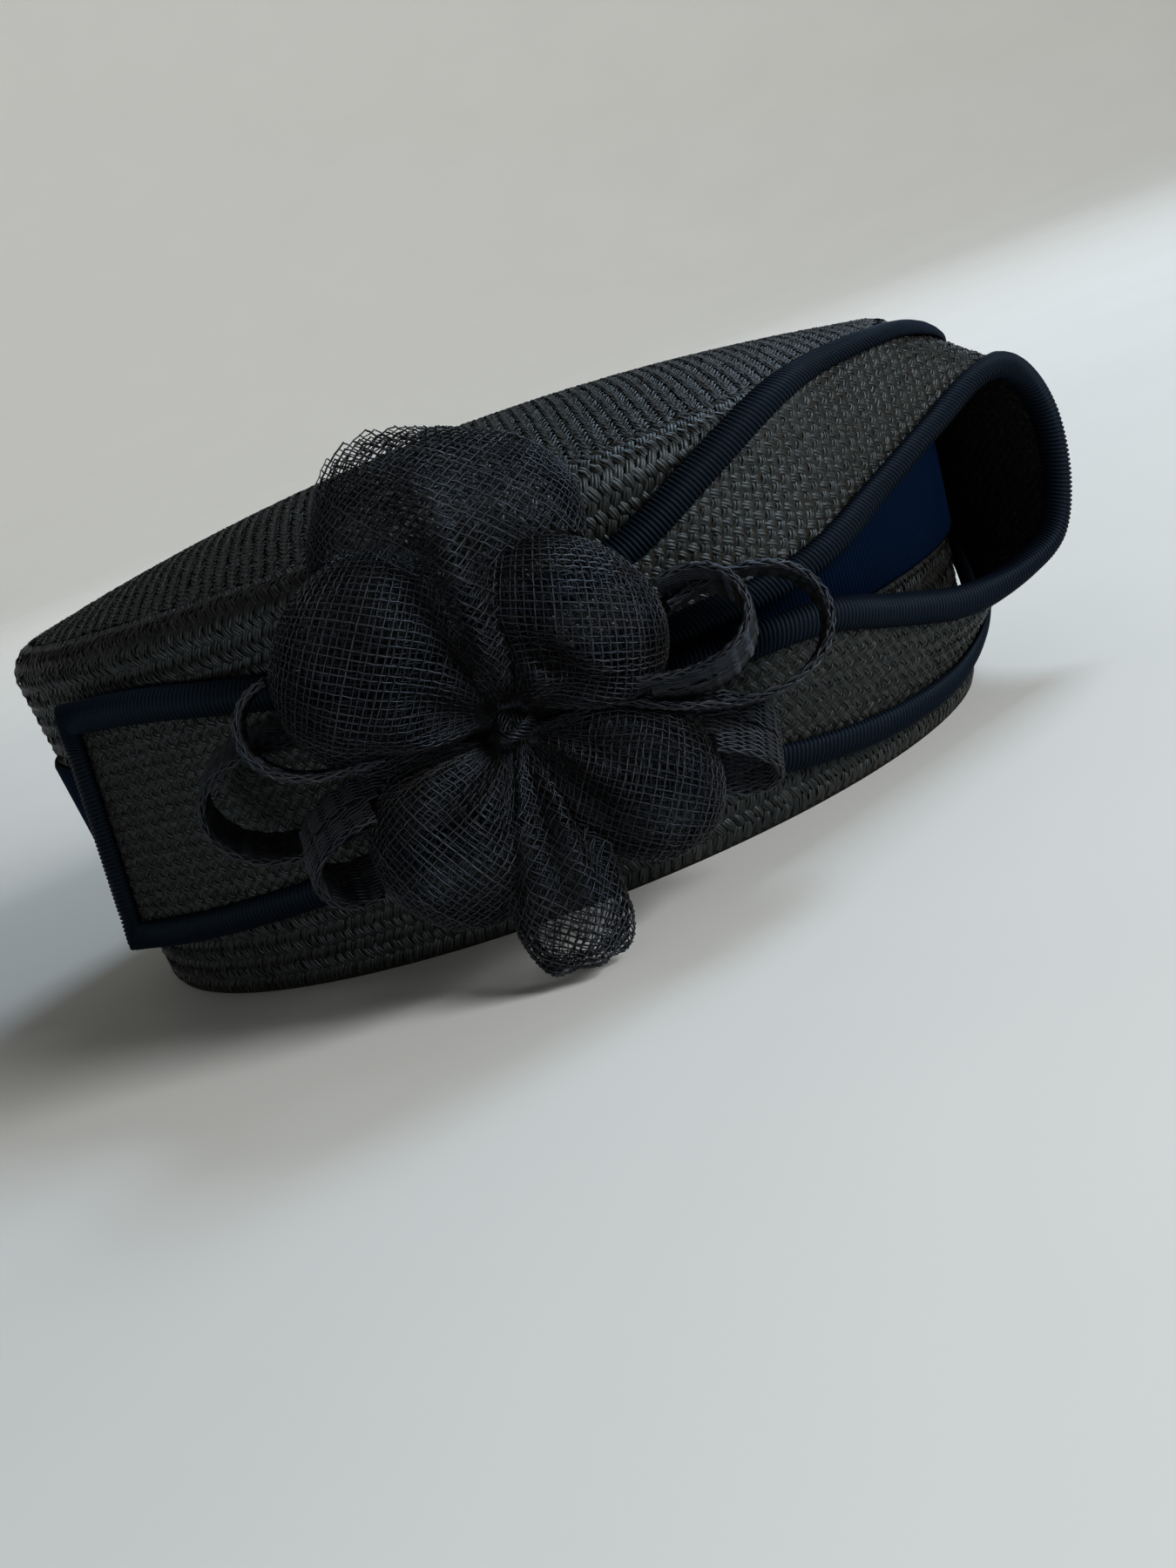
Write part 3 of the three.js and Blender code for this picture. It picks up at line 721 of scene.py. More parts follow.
SHOULDER_RUN = SHOULDER_Z + SHOULDER_R * math.pi / 2
DOME_RUN = TOP_LONG - SHOULDER_R
WALL_INSET = 0.55
WALL_TURNS = 120
WALL_RUNS = np.concatenate([
    np.linspace(0, SHOULDER_Z, 9), SHOULDER_Z + SHOULDER_R * np.radians([22, 45, 68, 90]),
    SHOULDER_RUN + DOME_RUN * np.array([0.12, 0.3, 0.5, 0.7, 0.87, 0.985])])
FIRST_ROW = 2.05
TOP_EDGE = 0.5
FLOAT_LIFT = -0.12


def on_crown(turn, z, stand):
    """Points off the crown's side, at bearings, heights and distances from it."""
    angle = np.radians(turn)
    up = np.clip(z, 0, SHOULDER_Z) / SHOULDER_Z
    over = np.clip(z - SHOULDER_Z, 0, SHOULDER_R)
    tuck = SHOULDER_R - np.sqrt(SHOULDER_R**2 - over**2)
    long = lerp(RIM_LONG - RIM_SHIFT * np.cos(angle), TOP_LONG, up) - tuck
    wide = lerp(RIM_WIDE, TOP_WIDE, up) - tuck
    out = unit(np.stack([np.cos(angle) / long, np.sin(angle) / wide], -1))
    x = long * np.cos(angle) + stand * out[..., 0]
    y = wide * np.sin(angle) + stand * out[..., 1]
    return np.stack([x, y, z + 0 * x], -1)


def crown_skin(turn, run, inset=0.0):
    """Points of the crown at bearings, and at distances run up from the rim over to the middle."""
    radius = SHOULDER_R - inset
    bend = np.clip((run - SHOULDER_Z) / SHOULDER_R, 0, math.pi / 2)
    scale = 1 - np.clip((run - SHOULDER_RUN) / DOME_RUN, 0, 1)
    stand = np.where(run < SHOULDER_Z, -inset, radius * np.cos(bend) - SHOULDER_R)
    z = np.minimum(run, SHOULDER_Z) + radius * np.sin(bend) + DOME * (1 - scale**2)
    points = on_crown(turn, np.minimum(run, SHOULDER_Z), stand)
    return np.concatenate([points[..., :2] * scale[..., None], z[..., None]], -1)


Weave = namedtuple("Weave", "slant step pitch span")


def weave_at(slant):
    """A plain weave at a slant: steps along a row and from row to row, and the span of a float."""
    strand = bpy.context.scene.hat_straw.strand / MM
    return Weave(
        slant, strand / math.sin(slant), strand / (2 * math.cos(slant)), strand / math.sin(2 * slant))


def side_rows(weave):
    """Rows of floats round the crown's side, leaning left and right by turns."""
    count = round(math.pi * (TOP_LONG + TOP_WIDE) / weave.step)
    rows = []
    for number, height in enumerate(np.arange(FIRST_ROW, SHOULDER_RUN, weave.pitch)):
        turn = (np.arange(count) + 0.5 * (number % 2)) * 360 / count
        run = np.full_like(turn, height)
        out = normals(crown_skin, turn, run)
        points = crown_skin(turn, run) + FLOAT_LIFT * out
        rows.append({"points": points, "closed": True, "out": out, "side": (-1.0) ** number})
    return rows


def top_rows(weave):
    """Straight rows of floats over the crown's top, inside its shoulder."""
    long = TOP_LONG - SHOULDER_R
    wide = TOP_WIDE - SHOULDER_R
    rows = []
    for number, place in enumerate(np.arange(-wide + TOP_EDGE, wide - TOP_EDGE, weave.pitch)):
        reach = (long - TOP_EDGE) * math.sqrt(max(0.0, 1 - (place / (wide - TOP_EDGE)) ** 2))
        first = 0.5 * (number % 2) * weave.step
        x = np.arange(-math.floor((reach + first) / weave.step) * weave.step + first, reach, weave.step)
        if len(x) < 2:
            continue
        y = np.full_like(x, place)
        z = SHOULDER_Z + SHOULDER_R + DOME * (1 - (x / long) ** 2 - (y / wide) ** 2)
        out = unit(np.stack([2 * DOME * x / long**2, 2 * DOME * y / wide**2, np.ones_like(x)], -1))
        points = np.stack([x, y, z], -1) + FLOAT_LIFT * out
        rows.append({"points": points, "out": out, "side": (-1.0) ** number})
    return rows


def weave_straw(name, rows, weave):
    """A piece of woven straw, from the rows of its floats."""
    straw = bpy.context.scene.hat_straw
    values = {
        "Length": straw.tuck * weave.span * MM, "Width": straw.cover * straw.strand / len(STRAW_PLACES),
        "Rise": straw.rise, "Slant": weave.slant, "Wander": straw.wander, "Roll": straw.roll,
        "Seed": straw.seed, "Material": straw_material()}
    kept(grown(name, line_mesh(rows), built("Straw floats", straw_tree), values), "straw")


def make_crown():
    """The crown's wall, and the rows of straw on its side and its top."""
    straw = bpy.context.scene.hat_straw
    turn = np.linspace(0, 360, WALL_TURNS, endpoint=False)
    u, v = np.meshgrid(turn, WALL_RUNS, indexing="ij")
    outer = crown_skin(u, v, WALL_INSET)
    inner = crown_skin(u, v, CROWN_WALL)
    rings = np.concatenate([outer, inner[:, ::-1]], 1)
    wall = add_object("straw_wall", skin_mesh("straw_wall", rings, True), wall_material())
    kept(wall, "straw", "crown")
    side = weave_at(straw.crown_slant)
    weave_straw("straw_side", side_rows(side), side)
    top = weave_at(straw.bias_slant)
    weave_straw("straw_top", top_rows(top), top)


# Ribbon round the crown

RINGS_PER_RIB = 4
BAND_TURNS = 721

# Section of the ribbon: distance from its middle line, height off its back, and rib share.
BAND_SECTION = [
    (-10.75, 0.7, 0.4), (-10, 0.88, 1), (-3, 0.88, 1), (3, 0.88, 1), (10, 0.88, 1), (10.75, 0.7, 0.4),
    (10.75, 0.15, 0), (-10.75, 0.15, 0)]


def ribbed(name, rings, along, shares, looped, height, material):
    """A ribbon skin with its ribs grown on, by each ring's distance and each section point's share."""
    mesh = skin_mesh(name, rings, looped, {
        "along": np.broadcast_to(along[:, None] * MM, rings.shape[:2]),
        "face": np.broadcast_to(shares, rings.shape[:2])})
    return grown(name, mesh, built("Ribbon ribs", rib_tree), {
        "Pitch": bpy.context.scene.hat_ribbon.rib_pitch, "Height": height, "Material": material})


def make_band():
    """The ribbon that goes round the crown."""
    ribbon = bpy.context.scene.hat_ribbon
    pitch = ribbon.rib_pitch / MM
    middle = (BAND_LOW + BAND_HIGH) / 2
    turn = np.linspace(0, 360, BAND_TURNS)
    run = measured(on_crown(turn, np.full_like(turn, middle), BAND_STAND + BAND_THICK))
    ribs = round(run[-1] / pitch)
    along = np.arange(ribs * RINGS_PER_RIB) / RINGS_PER_RIB * pitch
    bearing = np.interp(along * run[-1] / (ribs * pitch), run, turn)[:, None]
    across, height, shares = np.array(BAND_SECTION).T
    rings = on_crown(bearing, middle + across + 0 * bearing, BAND_STAND + height)
    band = ribbed("ribbon_band", rings, along, shares, True, ribbon.band_rib_height, band_material())
    kept(band, "ribbon", "crown_ribbon")


# Bow

BINDING_COVER = 3.8
LOOP_END_COVER = 0.5
FIRST_FLOAT = 0.5
STRIP_HALF = 0.35
STRIP_LIFT = 0.12
END_STEP = 0.1
BACK_STEP = 0.5
CORE_STEP = 3.0
CORNER_FAN = 9.0
STATIONS = 1200
TAIL_POINTS = 400
TAIL_END_POINTS = 200

# Section of a strip's core: share of half its width, and which of its faces.
CORE_SECTION = [(-1, -1), (-0.4, -1), (0.4, -1), (1, -1), (1, 1), (0.4, 1), (-0.4, 1), (-1, 1)]

# Section of a binding: distance inward from the strip's edge, height off the strip, and rib share.
FOLD_OUTSIDE = [
    (4.6, 1.25, 0.5), (3.9, 1.85, 1), (2.8, 2.25, 1), (1.6, 2.35, 1), (0.4, 2.05, 1),
    (-0.6, 1.4, 1), (-1.3, 0.5, 1), (-1.3, -0.5, 1), (-0.6, -1.4, 1), (0.4, -2.05, 1),
    (1.6, -2.35, 1), (2.8, -2.25, 1), (3.9, -1.85, 1), (4.6, -1.25, 0.5)]
FOLD_INSIDE = [
    (4.6, -0.95, 0), (2.4, -1.5, 0), (0.4, -1.2, 0), (-0.7, 0, 0), (0.4, 1.2, 0), (2.4, 1.5, 0),
    (4.6, 0.95, 0)]

Edge = namedtuple("Edge", "points inward normal")


class Strip:
    """A strip of straw ruled between two edges, measured along its middle line."""

    def __init__(self, low, high):
        shares = np.linspace(0, 1, STATIONS)
        self.low = through(low, shares)
        self.high = through(high, shares)
        self.middle = (self.low + self.high) / 2
        self.run = measured(self.middle)
        self.length = self.run[-1]
        self.cross = unit(self.high - self.low)
        self.width = np.linalg.norm(self.high - self.low, axis=1)

    def skin(self, run, side):
        """Points at distances along the middle line and across from it."""
        run = np.asarray(run, float)
        middle = read_along(self.run, self.middle, run)
        return middle + np.asarray(side)[..., None] * read_along(self.run, self.cross, run)

    def normal(self, run, side):
        """Normals there, read a little inside the strip's ends."""
        return normals(self.skin, np.clip(run, END_STEP, self.length - END_STEP), side)

    def width_at(self, run):
        """Width of the strip."""
        return np.interp(run, self.run, self.width)

    def edge(self, side, shares):
        """One edge of the strip, -1 low or 1 high, at shares of its length."""
        run = shares * self.length
        across = side * self.width_at(run) / 2
        inward = -side * read_along(self.run, self.cross, run)
        return Edge(self.skin(run, across), inward, self.normal(run, across))


def tail_strip():
    """The bow's tail."""
    low = [on_crown(row.low_turn, row.low_z, row.low_stand) for row in TAIL]
    high = [on_crown(row.top_turn, row.top_z, row.top_stand) for row in TAIL]
    return Strip(low, high)


def mouth_point(x, z):
    """A point of the loop's free edge."""
    seated = MOUTH_Y - MOUTH_SEATED_SLOPE * (MOUTH_X - x)
    y = seated if x < MOUTH_X else MOUTH_Y + MOUTH_SLOPE * (x - MOUTH_X)
    return np.array([x, y, z])


def loop_strip():
    """The bow's loop."""
    seat = [on_crown(row.seat_turn, row.seat_z, row.seat_stand) for row in LOOP]
    mouth = [mouth_point(row.mouth_x, row.mouth_z) for row in LOOP]
    return Strip(seat, mouth)


def strip_rows(strip, weave, end_cover):
    """Rows of straw along both faces of a strip, where its bindings leave it bare."""
    rows = []
    widest = strip.width.max() / 2
    for number, side in enumerate(np.arange(-widest, widest, weave.pitch)):
        first = FIRST_FLOAT + 0.5 * (number % 2) * weave.step
        run = np.arange(first, strip.length - end_cover, weave.step)
        bare = strip.width_at(run) / 2 - BINDING_COVER
        for start, end in runs_of(np.abs(side) < bare, 2):
            stretch = run[start:end]
            across = np.full_like(stretch, side)
            out = normals(strip.skin, stretch, across)
            points = strip.skin(stretch, across)
            for face in (1.0, -1.0):
                rows.append({
                    "points": points + face * (STRIP_HALF + STRIP_LIFT) * out, "out": face * out,
                    "side": (-1.0) ** number})
    return rows


def strip_core(name, strip):
    """The thin wall between a strip's two faces of straw."""
    run = np.linspace(0, strip.length, int(strip.length / CORE_STEP))
    half = strip.width_at(run) / 2
    columns = []
    for share, face in CORE_SECTION:
        columns.append(strip.skin(run, half * share) + face * STRIP_HALF * strip.normal(run, half * share))
    return skin_mesh(name, np.stack(columns, 1), False)


def make_bow_straw():
    """The straw of the bow's tail and loop."""
    weave = weave_at(bpy.context.scene.hat_straw.bias_slant)
    strips = (("tail", tail_strip(), BINDING_COVER), ("loop", loop_strip(), LOOP_END_COVER))
    for name, strip, end_cover in strips:
        core = add_object(f"straw_{name}_core", strip_core(f"straw_{name}_core", strip), wall_material())
        kept(core, "straw", f"{name}_strip")
        weave_straw(f"straw_{name}", strip_rows(strip, weave, end_cover), weave)


def bind(name, edge, node):
    """A ribbed ribbon folded over an edge."""
    ribbon = bpy.context.scene.hat_ribbon
    pitch = ribbon.rib_pitch / MM
    run = measured(edge.points)
    count = int(run[-1] / pitch) * RINGS_PER_RIB
    along = np.arange(count + 1) / RINGS_PER_RIB * pitch
    spots, inward, normal = (read_along(run, table, along)[:, None] for table in edge)
    section = np.array(FOLD_OUTSIDE + FOLD_INSIDE)
    rings = spots + inward * section[:, :1] + unit(normal) * section[:, 1:2]
    piece = ribbed(name, rings, along, section[:, 2], False, ribbon.rib_height, binding_material())
    kept(piece, "binding", node)


def tail_edge(tail):
    """The tail's bound edge along its top, end and foot, whose inward way fans round the two corners."""
    top = tail.edge(1.0, np.linspace(0, 1, TAIL_POINTS))
    foot = tail.edge(-1.0, np.linspace(1, 0, TAIL_POINTS))
    across = np.linspace(0.5, -0.5, TAIL_END_POINTS) * tail.width[-1]
    last = np.full_like(across, tail.length - END_STEP)
    back = unit(tail.skin(last - BACK_STEP, across) - tail.skin(last, across))
    end = Edge(tail.skin(last + END_STEP, across), back, normals(tail.skin, last, across))
    fans = []
    for edge, before, after in (
            (top, 0.0, back[0]), (end, top.inward[-1], foot.inward[0]), (foot, back[-1], 0.0)):
        run = measured(edge.points)
        leaving = np.clip(1 - run / CORNER_FAN, 0, 1)[:, None]
        nearing = np.clip(1 - (run[-1] - run) / CORNER_FAN, 0, 1)[:, None]
        fans.append(edge._replace(inward=edge.inward + leaving * before + nearing * after))
    return Edge(*(np.concatenate(parts) for parts in zip(*fans)))


def make_bow_bindings():
    """The bindings of the loop's two edges, and the tail's, which goes round its end."""
    loop = loop_strip()
    for name, side in (("seat", -1.0), ("mouth", 1.0)):
        edge = loop.edge(side, np.linspace(0, 1, STATIONS))
        bind(f"binding_loop_{name}", edge, f"loop_binding_{name}")
    bind("binding_tail", tail_edge(tail_strip()), "tail_binding")


# Flower

LAYERS = 3
FIRST_INSET = 0.2
LAYER_TURN = 9
# Tints of the strands of the front layer, and of the layers beneath it, which are painted darker as shade
# under the front layer.
FRONT_TINTS = (0.25, 1.0)
UNDER_PAINTED_SHADE_TINTS = (0.0, 0.3)
PETAL_SIDES = 3
WEAVE_GIRTHS = 2.2
PLEATS = 7
PLEAT_TWIST = 1.4
OPEN_TURN = math.radians(118)
CREST_HALF = 4.5
CREST_FRONT = 0.7
DENT_SHARE = 0.33
DENT_LONG = 0.075
DENT_HALF = 5.0
NECK_RUN_IN = 2.5
BILLOW = 0.8
BILLOW_LONG = 3.2
BILLOW_WIDE = 2.7
RUFFLES = 5
RUFFLE = 1.3
LIP_FROM = 1.25
LIP_BEARING = math.radians(20)
LIP_HALF = math.radians(26)
LIP_DROP = 0.2
LIP_WAVES = 9

RIBBON_STATIONS = 400
RIBBON_SIDES = 4
RIBBON_RUN_IN = 0.25
RUN_IN_STATIONS = 20
RIBBON_CLEAR = 15.0
RIBBON_END = 0.2
RIBBON_BIAS = math.radians(17)
RIBBON_CELL = 0.79

KNOT_WRAPS = 7
KNOT_SIDES = 5
KNOT_SQUASH = 0.9
WRAP_POINTS = 40
WRAP_STRANDS = 8
WRAP_TWISTS = 3
WRAP_CRIMPS = 9
WRAP_HALF = 0.34
WRAP_DEEP = 0.13
WRAP_POLE = (0.6, 0.3, 1.0)
WRAP_SHIFT = 0.35
WRAP_SHRINK = (0.78, 0.97)
WRAP_GIRTHS = (1.0, 1.65)
WRAP_TINTS = (0.0, 0.6)

PAD_SIDES = 64

# Profile of the pad: shares of its radius and of its thickness.
PAD_PROFILE = [
    (0.02, 1), (0.5, 1), (0.85, 0.97), (0.96, 0.8), (1, 0.6), (1, 0.4), (0.96, 0.2), (0.85, 0.03), (0.5, 0),
    (0.02, 0)]


def on_flower(turn, reach, side, height):
    """Points in the flower's own axes: out along a bearing, across it, and off the pad."""
    angle = math.radians(turn)
    x = FLOWER_X + reach * math.cos(angle) - side * math.sin(angle)
    z = FLOWER_Z + reach * math.sin(angle) + side * math.cos(angle)
    return np.stack([x, FLOWER_FACE - height, z], -1)


def petal_girth(petal):
    """Mean radius of a petal's belly."""
    return (petal.half + petal.deep) / 2


def petal_neck(petal):
    """Length of gauze from a petal's pinch to its belly."""
    return math.hypot((petal.long - PETAL_START) * petal.belly, petal.deep - PINCH_DEEP)


def round_tip(petal, out, across, inset):
    """A round tip's share of the reach, side and rise: the end of an egg, whose lip may stand out."""
    girth = petal_girth(petal)
    bearing = np.arctan2(across, out)
    whole = np.hypot(out, across) / girth
    lip = np.clip(whole - LIP_FROM, 0, 1) * petal.lip * np.exp(-(((bearing - LIP_BEARING) / LIP_HALF) ** 2))
    polar = whole - lip
    stand = lip * girth / (petal.long - PETAL_START)
    share = petal.belly + ((1 - petal.belly) * np.sin(polar) + stand) * np.cos(bearing)
    side = ((petal.half - inset) * np.sin(polar) + lip * girth) * np.sin(bearing)
    wave = LIP_DROP * (1 + np.sin(LIP_WAVES * bearing))
    return share, side, (petal.deep - inset) * np.cos(polar) - lip * girth * wave


def open_tip(petal, out, across, inset):
    """An open end's share of the reach, side and rise, with a ruffled edge."""
    turn = across / petal_girth(petal)
    ahead = np.clip(out / (math.radians(petal.tip) * petal_girth(petal)), 0, 1)
    draw = lerp(1, np.cos(math.pi / 2 * ahead), petal.shut)
    ruffle = RUFFLE * ahead * np.sin(RUFFLES * turn)
    share = petal.belly + (1 - petal.belly) * np.sin(math.pi / 2 * ahead)
    side = (draw * (petal.half - inset) + ruffle) * np.sin(turn)
    return share, side, (draw * (petal.deep - inset) + ruffle) * np.cos(turn)


def petal_skin(petal, out, across, inset, pleat):
    """Points of a petal's gauze, by cloth distances out from its belly and across its middle."""
    span = petal.long - inset - PETAL_START
    reached = 1 + out / petal_neck(petal)
    neck = np.clip(reached, 0, 1)
    turn = across / petal_girth(petal)
    swell = np.sin(math.pi / 2 * neck) ** SWELL
    wave = np.cos(PLEATS * turn + petal.turn + PLEAT_TWIST * neck)
    fold = pleat * np.sin(math.pi * neck) * (1 - neck) ** 0.5 * wave
    half = lerp(PINCH_HALF, petal.half - inset, swell) + fold
    deep = lerp(PINCH_DEEP, petal.deep - inset, swell) + fold
    tip = round_tip if petal.shut == 1 else open_tip
    tip_share, tip_side, tip_rise = tip(petal, out, across, inset)
    in_neck = out < 0
    share = np.where(in_neck, petal.belly * reached, tip_share)
    side = np.where(in_neck, half * np.sin(turn), tip_side)
    rise = np.where(in_neck, deep * np.cos(turn), tip_rise)
    crest = np.sin(math.pi * np.clip(share, 0, 1) ** CREST_FRONT) * np.exp(-((side / CREST_HALF) ** 2))
    dent = np.exp(-(((share - DENT_SHARE) / DENT_LONG) ** 2) - (side / DENT_HALF) ** 2)
    ripple = np.sin(out / BILLOW_LONG + petal.turn) * np.cos(across / BILLOW_WIDE + petal.long)
    seat = lerp(PETAL_SEAT, petal.lift, share)
    height = seat + rise + petal.crest * crest - petal.dent * dent + BILLOW * neck * ripple
    return on_flower(petal.turn, PETAL_START + span * share, side, height)


def petal_cut(petal, out, across):
    """Which places of the cloth belong to a petal."""
    girth = petal_girth(petal)
    in_width = np.abs(across) < girth * OPEN_TURN
    in_neck = (out < 0) & (out > -petal_neck(petal) - NECK_RUN_IN) & in_width
    if petal.shut < 1:
        return in_neck | ((out >= 0) & (out < girth * math.radians(petal.tip)) & in_width)
    polar = np.hypot(out, across) / girth
    ahead = np.clip(out / np.maximum(np.hypot(out, across), 1e-9), 0, 1)
    return in_neck | ((out >= 0) & (polar < lerp(OPEN_TURN, math.radians(petal.tip), ahead)))


def inside_petal(petal, points, grow=0.4):
    """Which points lie in the room that a petal takes up."""
    angle = math.radians(petal.turn)
    x = points[..., 0] - FLOWER_X
    z = points[..., 2] - FLOWER_Z
    reach = x * math.cos(angle) + z * math.sin(angle)
    side = z * math.cos(angle) - x * math.sin(angle)
    share = (reach - PETAL_START) / (petal.long + grow - PETAL_START)
    neck = np.clip(share / petal.belly, 0, 1)
    swell = np.sin(math.pi / 2 * neck) ** SWELL
    tip = np.clip((share - petal.belly) / (1 - petal.belly), 0, 1)
    close = lerp(1, np.sqrt(1 - tip**2), petal.shut)
    half = close * (lerp(PINCH_HALF, petal.half, swell) + grow)
    deep = close * (lerp(PINCH_DEEP, petal.deep, swell) + grow)
    rise = FLOWER_FACE - points[..., 1] - lerp(PETAL_SEAT, petal.lift, share)
    near = (side / np.maximum(half, 1e-6)) ** 2 + (rise / np.maximum(deep, 1e-6)) ** 2 < 1
    return near & (share > 0) & (share < 1)


def clear_of(petals, points):
    """Which points lie in the room of none of some petals."""
    return ~np.any([inside_petal(petal, points) for petal in petals], axis=0)


def straight_lay(angle):
    """Square cloth turned by an angle: distances along and across, from those along its two ways."""
    def lay(p, q):
        return p * math.cos(angle) - q * math.sin(angle), p * math.sin(angle) + q * math.cos(angle)

    return lay


def bias_lay(bias):
    """Cloth pulled on the bias, whose two ways lean by an angle to each side of its length."""
    def lay(p, q):
        return (p + q) / (2 * math.sin(bias)), (p - q) / (2 * math.cos(bias))

    return lay


Threads = namedtuple("Threads", "gap stray girths tints shortest")


def woven_lines(skin, cut, reach, lay, threads, rng):
    """Strands of both ways of a weave, crossing over and under, as lines, and their count of crossings."""
    count = int(reach / threads.gap) + 1
    even = np.arange(-count, count + 1)
    first = (even + rng.uniform(-threads.stray, threads.stray, len(even))) * threads.gap
    second = (even + rng.uniform(-threads.stray, threads.stray, len(even))) * threads.gap
    p, q = np.meshgrid(first, second, indexing="ij")
    along, across = lay(p, q)
    points = skin(along, across)
    out = normals(skin, along, across)
    mask = cut(along, across, points)
    i, j = np.indices(p.shape)
    over = (-1.0) ** (i + j)
    lines = []
    for way, flip in ((1.0, False), (-1.0, True)):
        tables = [np.swapaxes(t, 0, 1) if flip else t for t in (points, out, over * way, mask)]
        for spots, outs, overs, inside in zip(*tables):
            girth = rng.uniform(*threads.girths)
            tint = rng.uniform(*threads.tints)
            for start, end in runs_of(inside, threads.shortest):
                lines.append({
                    "points": spots[start:end], "out": outs[start:end], "over": overs[start:end],
                    "girth": girth, "tint": tint})
    return lines, int(mask.sum())


def gauze_piece(name, lines, sides, node):
    """A piece of gauze strands, each a tube with some sides."""
    gauze = bpy.context.scene.hat_gauze
    piece = grown(name, line_mesh(lines), built("Woven strands", strand_tree), {
        "Radius": gauze.strand_radius, "Crimp": gauze.crimp, "Sides": sides, "Material": gauze_material()})
    return kept(piece, "gauze", node)


def petal_layer(petal, earlier, layer, rng):
    """One layer's strands of a petal, clear of the petals before it, and their count of crossings."""
    gauze = bpy.context.scene.hat_gauze
    inset = FIRST_INSET + layer * gauze.layer_gap / MM

    def skin(out, across):
        return petal_skin(petal, out, across, inset, gauze.pleat / MM)

    def cut(out, across, points):
        return petal_cut(petal, out, across) & clear_of(earlier, points)

    reach = WEAVE_GIRTHS * petal_girth(petal) + petal_neck(petal)
    lay = straight_lay(math.radians(petal.lay + layer * LAYER_TURN))
    # Painted shade: layers under the front one take darker tints.
    tints = UNDER_PAINTED_SHADE_TINTS if layer else FRONT_TINTS
    threads = Threads(gap=gauze.cell / MM, stray=0.2, girths=(0.8, 1.4), tints=tints, shortest=3)
    return woven_lines(skin, cut, reach, lay, threads, rng)


def make_petals():
    """The six petals, each of a few layers of gauze gathered at the knot."""
    gauze = bpy.context.scene.hat_gauze
    rng = np.random.default_rng(gauze.seed)
    for place, petal in enumerate(PETALS):
        lines = []
        for layer in range(LAYERS):
            strands, crossings = petal_layer(petal, PETALS[:place], layer, rng)
            lines += strands
        piece = gauze_piece(f"gauze_petal_{petal.name}", lines, PETAL_SIDES, f"petal_{petal.name}")


def ribbon_path(loop):
    """Centre line of a gauze ribbon's loop, with the direction across it and its normals."""
    beta = 2 * math.pi * np.linspace(RIBBON_GAPE, 1 - RIBBON_GAPE, RIBBON_STATIONS)
    reach = lerp(RIBBON_START, loop.long, (1 - np.cos(beta)) / 2)
    spread = loop.half / RIBBON_FULLNESS * np.sin(beta) * np.sin(beta / 2)
    tilt = math.radians(loop.tilt)

    def point(reach, spread, width):
        depth = lerp(loop.depth, loop.tip_depth, reach / loop.long)
        side = spread * math.cos(tilt) - width * math.sin(tilt)
        return on_flower(loop.turn, reach, side, depth + spread * math.sin(tilt) + width * math.cos(tilt))

    run_in = np.linspace(RIBBON_RUN_IN, 1, RUN_IN_STATIONS, endpoint=False)
    reach = np.concatenate([run_in * reach[0], reach, run_in[::-1] * reach[-1]])
    spread = np.concatenate([run_in * spread[0], spread, run_in[::-1] * spread[-1]])
    centre = point(reach, spread, 0.0)
    across = unit(point(reach, spread, 1.0) - centre)
    normal = unit(np.cross(np.gradient(centre, axis=0), across))
    return centre, across, normal


def ribbon_section(around, wide, radius):
    """Places across and off the middle of a flattened tube, by distances round it."""
    flat = wide / 2 - radius
    away = np.abs(around)
    bend = np.clip((away - flat) / radius, 0, math.pi)
    past = np.maximum(away - flat - math.pi * radius, 0)
    across = np.sign(around) * (np.minimum(away, flat) + radius * np.sin(bend) - past)
    return across, radius * np.cos(bend)


def make_ribbon_loop(loop, rng):
    """A loop of bias-cut gauze ribbon, a flattened tube that stops short of the knot."""
    gap = RIBBON_CELL * bpy.context.scene.hat_gauze.cell / MM
    radius = RIBBON_THICK / 2
    centre, across_way, normal = ribbon_path(loop)
    run = measured(centre)
    halfway = loop.wide - 2 * radius + math.pi * radius

    def skin(along, around):
        place = np.clip(along + run[-1] / 2, 0, run[-1])
        across, off = ribbon_section(around, loop.wide, radius)
        spot = read_along(run, centre, place) + off[..., None] * read_along(run, normal, place)
        return spot + across[..., None] * read_along(run, across_way, place)

    def cut(along, around, points):
        in_ribbon = (np.abs(along) < run[-1] / 2 - RIBBON_END) & (np.abs(around) < halfway)
        from_knot = np.hypot(points[..., 0] - FLOWER_X, points[..., 2] - FLOWER_Z)
        return in_ribbon & (from_knot > RIBBON_CLEAR) & clear_of(PETALS, points)

    reach = run[-1] / 2 * math.sin(RIBBON_BIAS) + halfway * math.cos(RIBBON_BIAS)
    threads = Threads(gap=gap, stray=0.05, girths=(1.5, 1.75), tints=(0.0, 1.0), shortest=8)
    lines, crossings = woven_lines(skin, cut, reach, bias_lay(RIBBON_BIAS), threads, rng)
    piece = gauze_piece(f"gauze_loop_{loop.name}", lines, RIBBON_SIDES, f"ribbon_loop_{loop.name}")


def make_ribbon_loops():
    """The six ribbon loops."""
    rng = np.random.default_rng(bpy.context.scene.hat_gauze.seed + 1)
    for loop in RIBBON_LOOPS:
        make_ribbon_loop(loop, rng)


